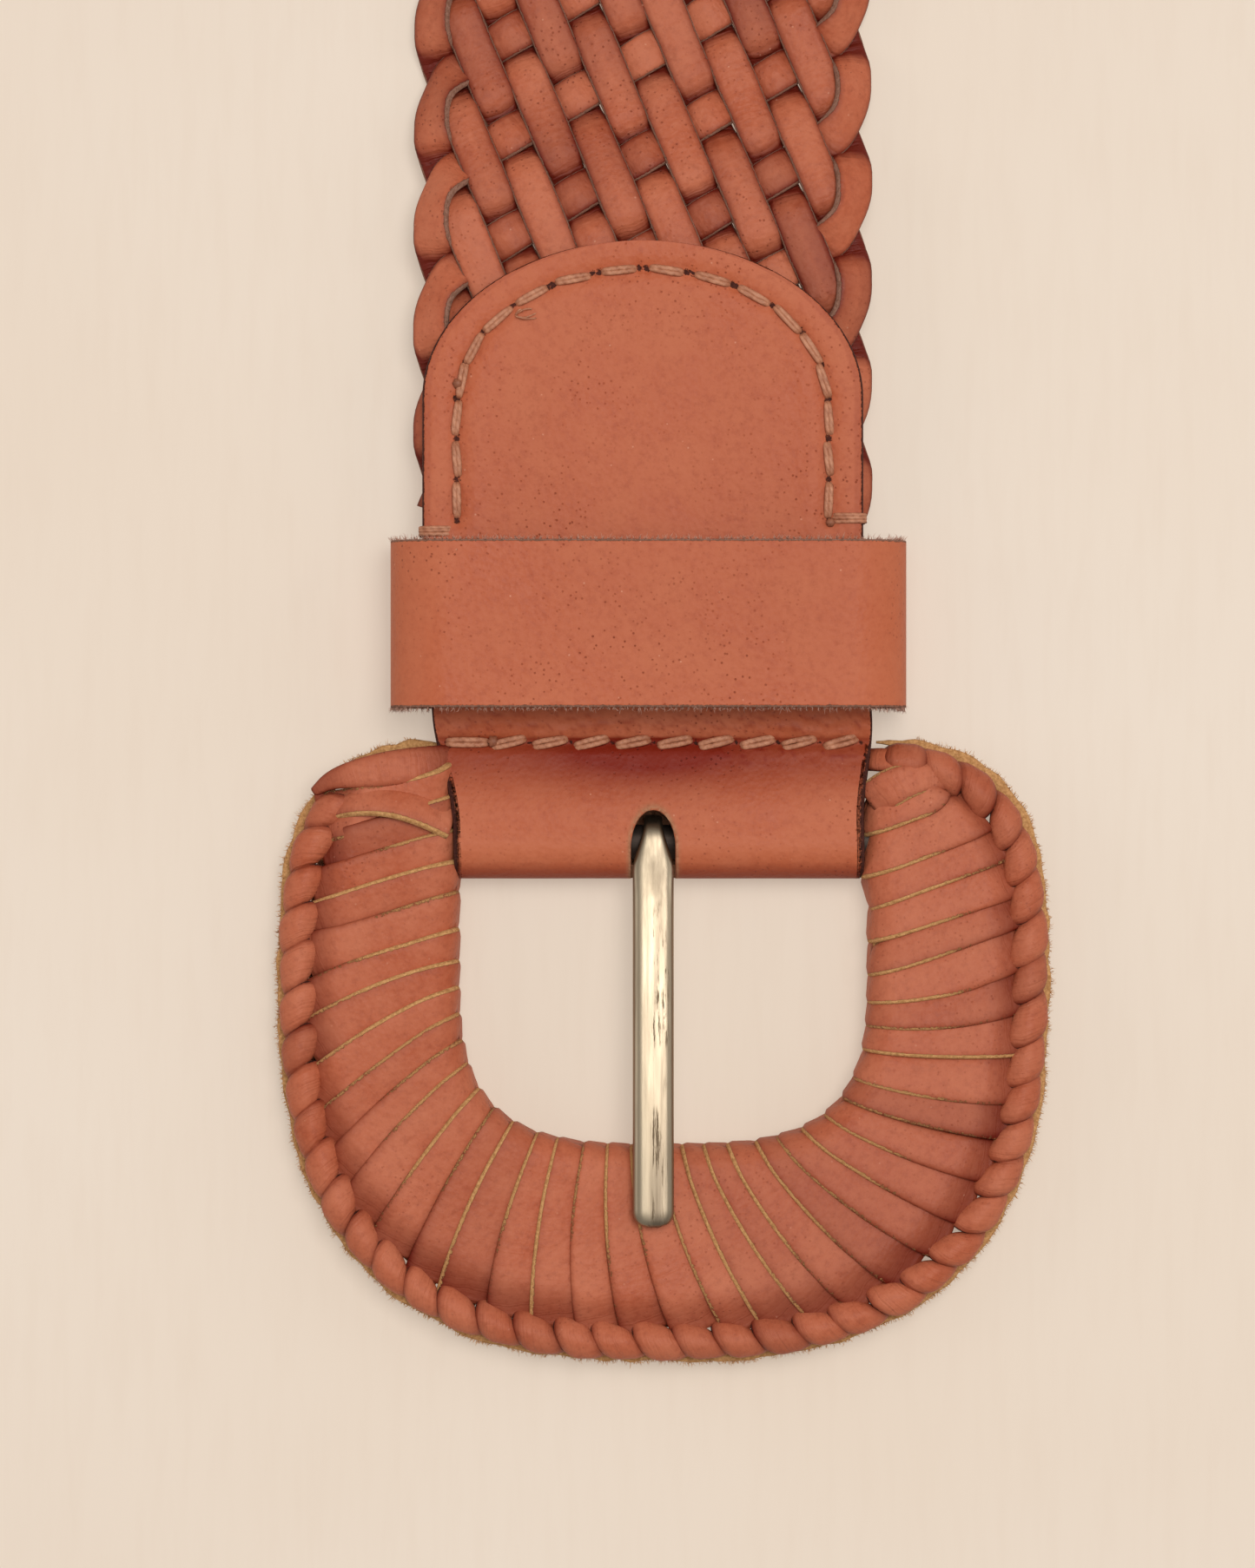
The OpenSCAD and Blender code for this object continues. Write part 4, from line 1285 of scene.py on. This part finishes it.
def keeper():
    """The loop that holds the tail. Gives its line, facings and half width, for its fibres."""
    path = keeper_path()
    centre_x = (KEEPER_LOW[0] + KEEPER_HIGH[0]) / 2
    centre_y = (KEEPER_LOW[1] + KEEPER_HIGH[1]) / 2
    half_y = (KEEPER_HIGH[1] - KEEPER_LOW[1]) / 2
    line = np.stack([path[:, 0] + centre_x, np.full(len(path), centre_y), path[:, 1]], 1)
    way = unit(np.gradient(path, axis=0))
    facing = np.stack([way[:, 1], 0 * way[:, 0], -way[:, 0]], 1)
    outline = strip_outline(60, 20, [(1.006, 0.55), (1.008, 0.0), (1.006, -0.55)])
    cut = (np.abs(outline[:, 0]) > 0.999).astype(float)
    flesh = (outline[:, 1] < -0.9).astype(float)
    section = (outline[:, 0], outline[:, 1], cut, flesh)
    # painted highlight: a negative shade makes the top's rounded corners paler on both sides
    worn = -0.35 * bell(np.abs(path[:, 0]) - 27, 3.0) * (path[:, 1] > 6)
    mesh = lace_mesh("keeper_leather", line, facing, half_y, KEEPER_T / 2, section=section, shade=worn)
    piece = new_object("keeper_leather", mesh, [KEEPER_FINISH])
    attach(piece, "keeper")
    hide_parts("keeper_loop")
    return line, facing, half_y


FIBRE_T = 0.035


def fuzz(name, roots, ways, material, length, body):
    """Loose fibres standing from a cut edge, as one piece. Each is three-sided, with an elbow and a point."""
    bm = bmesh.new()
    for root, way in zip(roots, ways):
        size = length * rng.uniform(0.35, 1.0)
        side = unit(rng.normal(size=3))
        tip = root + way * size + side * size * 0.5
        elbow = root + way * size * 0.6 + side * size * 0.1 + unit(rng.normal(size=3)) * size * 0.25
        across = unit(np.cross(way, side)) * FIBRE_T
        up = unit(np.cross(way, across)) * FIBRE_T
        offsets = (across, up, -across - up)
        ring = [bm.verts.new((root + off) * MM) for off in offsets]
        mid = [bm.verts.new((elbow + off * 0.8) * MM) for off in offsets]
        end = bm.verts.new(tip * MM)
        bm.faces.new(ring)
        for i in range(3):
            j = (i + 1) % 3
            bm.faces.new((ring[i], ring[j], mid[j], mid[i]))
            bm.faces.new((mid[i], mid[j], end))
    bmesh.ops.recalc_face_normals(bm, faces=bm.faces)
    mesh = bpy.data.meshes.new(name)
    bm.to_mesh(mesh)
    bm.free()
    piece = new_object(name, mesh, [material])
    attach(piece, body)
    return piece


def keeper_fuzz(line, facing, half_y):
    """The fibres along the loop's two cut edges."""
    roots, ways = [], []
    for _ in range(KEEPER_FIBRES):
        i = rng.integers(4, len(line) - 4)
        side = rng.choice((-1, 1))
        depth = rng.uniform(-0.7, 0.55)
        root = line[i] + np.array([0, side * half_y, 0]) + facing[i] * depth
        roots.append(root)
        ways.append(unit(np.array([0, side, 0]) + 0.7 * facing[i] + 0.5 * rng.normal(size=3)))
    piece = fuzz("keeper_fibres", roots, ways, FIBRE, 0.75, "keeper")


# ---------------------------------------------------------------- prong

PRONG_CURL_R = 2.6
PRONG_RISE = [(-4, 7.55), (-10, 8.25), (-20, 8.9), (-33, 9.45), (PRONG_LOW[1], 9.45)]
CURL_HALF_W, CURL_HALF_T, TIP_ROUND = 1.05, 0.55, 1.8
# the prong's section across and up from -1 to 1: its crowned top's right half, then its underside from the left
PRONG_CROWN = [(1.0, 0.25), (0.95, 0.55), (0.84, 0.8), (0.66, 0.97), (0.5, 1.0), (0.2, 1.02), (0, 1.02)]
PRONG_UNDER = [(-1, -0.7), (-0.9, -0.95), (-0.75, -1), (0.75, -1), (0.9, -0.95), (1, -0.7), (1.0, 0.25)]
DULL_FROM, DULL_TO = -0.3, 1.7


def prong_path():
    """The prong's middle in Y and Z, from the curl's end round the bar to the tip, with its bends eased."""
    angles = np.radians(np.arange(205, -1, -8))
    curl = [(PRONG_CURL_R * math.sin(a), AXIS_Z + PRONG_CURL_R * math.cos(a)) for a in angles]
    path = np.array(curl + PRONG_RISE)
    fine = [a + (b - a) * np.linspace(0, 1, 12)[:-1, None] for a, b in zip(path[:-1], path[1:])]
    path = np.concatenate(fine + [path[-1:]])
    for _ in range(40):
        inner = path[1:-1] + 0.25 * (path[:-2] + path[2:] - 2 * path[1:-1])
        path = np.concatenate([path[:1], inner, path[-1:]])
    return evenly(path, 0.4)


def prong():
    """The metal tongue: curled round the bar, widening to its full width and round at its tip."""
    path = prong_path()
    y, z = path.T
    full = (PRONG_HIGH[0] - PRONG_LOW[0]) / 2
    wide = CURL_HALF_W + (full - CURL_HALF_W) * ease((2.5 - y) / 6.0) * (z > AXIS_Z)
    to_tip = np.clip(y - PRONG_LOW[1], 0, TIP_ROUND)
    round_tip = np.sqrt(1 - (1 - to_tip / TIP_ROUND) ** 2)
    on_shank = (z > AXIS_Z) & (y < 0.2)
    thick = np.where(on_shank, CURL_HALF_T + 0.4 * ease((-y) / 8), CURL_HALF_T)
    top = PRONG_CROWN + [(-across, up) for across, up in reversed(PRONG_CROWN[:-1])]
    outline = np.array(top + PRONG_UNDER)
    section = (outline[:, 0], outline[:, 1], 0 * outline[:, 0], 0 * outline[:, 0])
    line = np.stack([np.full(len(y), PRONG_X), y, z], 1)
    way = unit(np.gradient(path, axis=0))
    facing = np.stack([0 * y, way[:, 1], -way[:, 0]], 1)
    facing = facing * np.sign(facing[-1, 2])
    mesh = lace_mesh("prong_metal", line, facing, wide * (0.35 + 0.65 * round_tip),
                     thick * (0.55 + 0.45 * round_tip), section=section)
    x = corners_of(mesh)[:, 0] / MM - PRONG_X
    set_mark(mesh, "mid", (x > DULL_FROM) & (x < DULL_TO))
    piece = new_object("prong_metal", mesh, [GOLD])
    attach(piece, "prong")
    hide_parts("prong")


# ---------------------------------------------------------------- tail tab

TAB_PLAY, TIP_PLY, TAB_OVER, TAB_ROUND, TAB_END = 0.15, 1.1, 2.6, 20.0, 6
TAB_STITCHES, TAB_SEAM_IN, TAB_PITCH = 7, 3.7, TIP_LEN / 10.4


def tip_sheet(name, node, up):
    """One ply of the tab on the tail's end, with a round end."""
    whole = TIP_LEN + TAB_OVER
    straight = np.arange(0, whole - TAB_END, 0.8)
    into = np.concatenate([straight, whole - TAB_END * np.linspace(1, 0.02, 24) ** 1.6])
    q = STRAP_LEN - TIP_LEN + into
    left = whole - into
    half_w = (STRAP_W / 2 - 0.4) * np.sqrt(np.clip(1 - np.clip(1 - left / TAB_ROUND, 0, 1) ** 2, 0.0004, 1))
    places, facing = on_strap(0, q, up)
    outline = strip_outline(50, 24, [(1.004, 0.5), (1.004, -0.5)])
    cut = (np.abs(outline[:, 0]) > 0.999).astype(float)
    flesh_side = outline[:, 1] * (1 if up > 0 else -1) < -0.9
    section = (outline[:, 0], outline[:, 1], cut, flesh_side.astype(float))
    mesh = lace_mesh(name, places, facing, half_w, TIP_PLY / 2, section=section)
    piece = new_object(name, mesh, [LEATHER])
    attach(piece, "strap_roll")
    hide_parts(node)


def tip_stitching():
    """The pairs of thread along the tab's two sides, on the face that is inside the roll."""
    meshes = []
    up = STRAP_T / 2 + TAB_PLAY + TIP_PLY + 0.12
    for side in (-1, 1):
        for i in range(TAB_STITCHES):
            q = STRAP_LEN - TIP_LEN + TAB_PITCH * (i + 0.6)
            t = np.linspace(-1, 1, 9)
            for shift in (-0.22, 0.22):
                u = side * (STRAP_W / 2 - TAB_SEAM_IN) + shift
                places, _ = on_strap(u, q + 1.6 * t, up - 0.3 * np.abs(t) ** 4)
                meshes.append(strand_mesh("strand", places, 0.25))
    thread_piece("tip_stitching", meshes, "tip_stitch", "strap_roll")


# ---------------------------------------------------------------- stage


FLOOR_HALF = 3.0
AIM = Vector((0, 0.02, 0))
LIGHTS = {"overhead": ((0.16, 0.22, 1.2), (0.6, 0.6), 9.9), "right_side": ((0.9, 0.25, 0.6), (0.4, 0.6), 1.2),
          "left_side": ((-0.9, 0.1, 0.5), (0.5, 0.5), 1.3)}
WORLD_COLOUR, WORLD_STRENGTH = (1.0, 0.985, 0.965, 1.0), 0.365


def stage():
    bm = bmesh.new()
    bmesh.ops.create_grid(bm, x_segments=1, y_segments=1, size=FLOOR_HALF)
    mesh = bpy.data.meshes.new("floor")
    bm.to_mesh(mesh)
    bm.free()
    floor = new_object("floor", mesh, [floor_finish()], smooth=False)


def area_light(name, place, size, energy):
    data = bpy.data.lights.new(name, "AREA")
    data.shape = "RECTANGLE"
    data.size, data.size_y = size
    data.energy = energy
    light = bpy.data.objects.new(name, data)
    light.location = place
    light.rotation_euler = (AIM - Vector(place)).to_track_quat("-Z", "Y").to_euler()
    bpy.context.scene.collection.objects.link(light)


def lighting():
    world = bpy.data.worlds.new("studio")
    world.use_nodes = True
    background = world.node_tree.nodes["Background"]
    background.inputs["Color"].default_value = WORLD_COLOUR
    background.inputs["Strength"].default_value = WORLD_STRENGTH
    bpy.context.scene.world = world
    for name, (place, size, energy) in LIGHTS.items():
        area_light(name, place, size, energy)
    bpy.context.scene.view_settings.view_transform = "Standard"


CAMERA_X, CAMERA_Y, CAMERA_Z = -4.15, 6.7, 705.0
VIEW_W, VIEW_FROM, SENSOR_W = 144.5, 700, 36


def camera():
    """Straight above the buckle, looking down."""
    data = bpy.data.cameras.new("camera")
    data.sensor_fit = "HORIZONTAL"
    data.sensor_width = SENSOR_W
    data.lens = SENSOR_W * VIEW_FROM / VIEW_W
    data.clip_end = 20
    view = bpy.data.objects.new("camera", data)
    view.location = (CAMERA_X * MM, CAMERA_Y * MM, CAMERA_Z * MM)
    bpy.context.scene.collection.objects.link(view)
    bpy.context.scene.camera = view


def finish_cad_nodes():
    """The pieces that stay as they are get their materials."""
    finishes = {"buckle_frame": STEEL, "buckle_bar": STEEL, "keeper_staples": STEEL, "chape_filler": RAW}
    for node, material in finishes.items():
        for place in frame["nodes"][node].material_slots:
            place.material = material


camera()
lighting()
stage()
finish_cad_nodes()
for s in range(LACES):
    braid_strand(s)
for i in range(BANDS):
    wrap_band(i)
loose_run("top_run", TOP_RUN, math.radians(-12), 0.3)
loose_run("first_turn", FIRST_TURN, math.radians(14), 1.0)
loose_run("final_turn", FINAL_TURN, math.radians(10), 0.7)
loose_run("end_tuck", END_TUCK, 0.0, 0.2)
for i in range(BEADS):
    edge_bead(i)
rim_edge()
chape()
arch_stitching()
cross_stitching()
tack_stitching()
keeper_fuzz(*keeper())
prong()
tip_sheet("tip_face", "tip_outer", -(STRAP_T / 2 + TAB_PLAY + TIP_PLY / 2))
tip_sheet("tip_back", "tip_inner", STRAP_T / 2 + TAB_PLAY + TIP_PLY / 2)
tip_stitching()
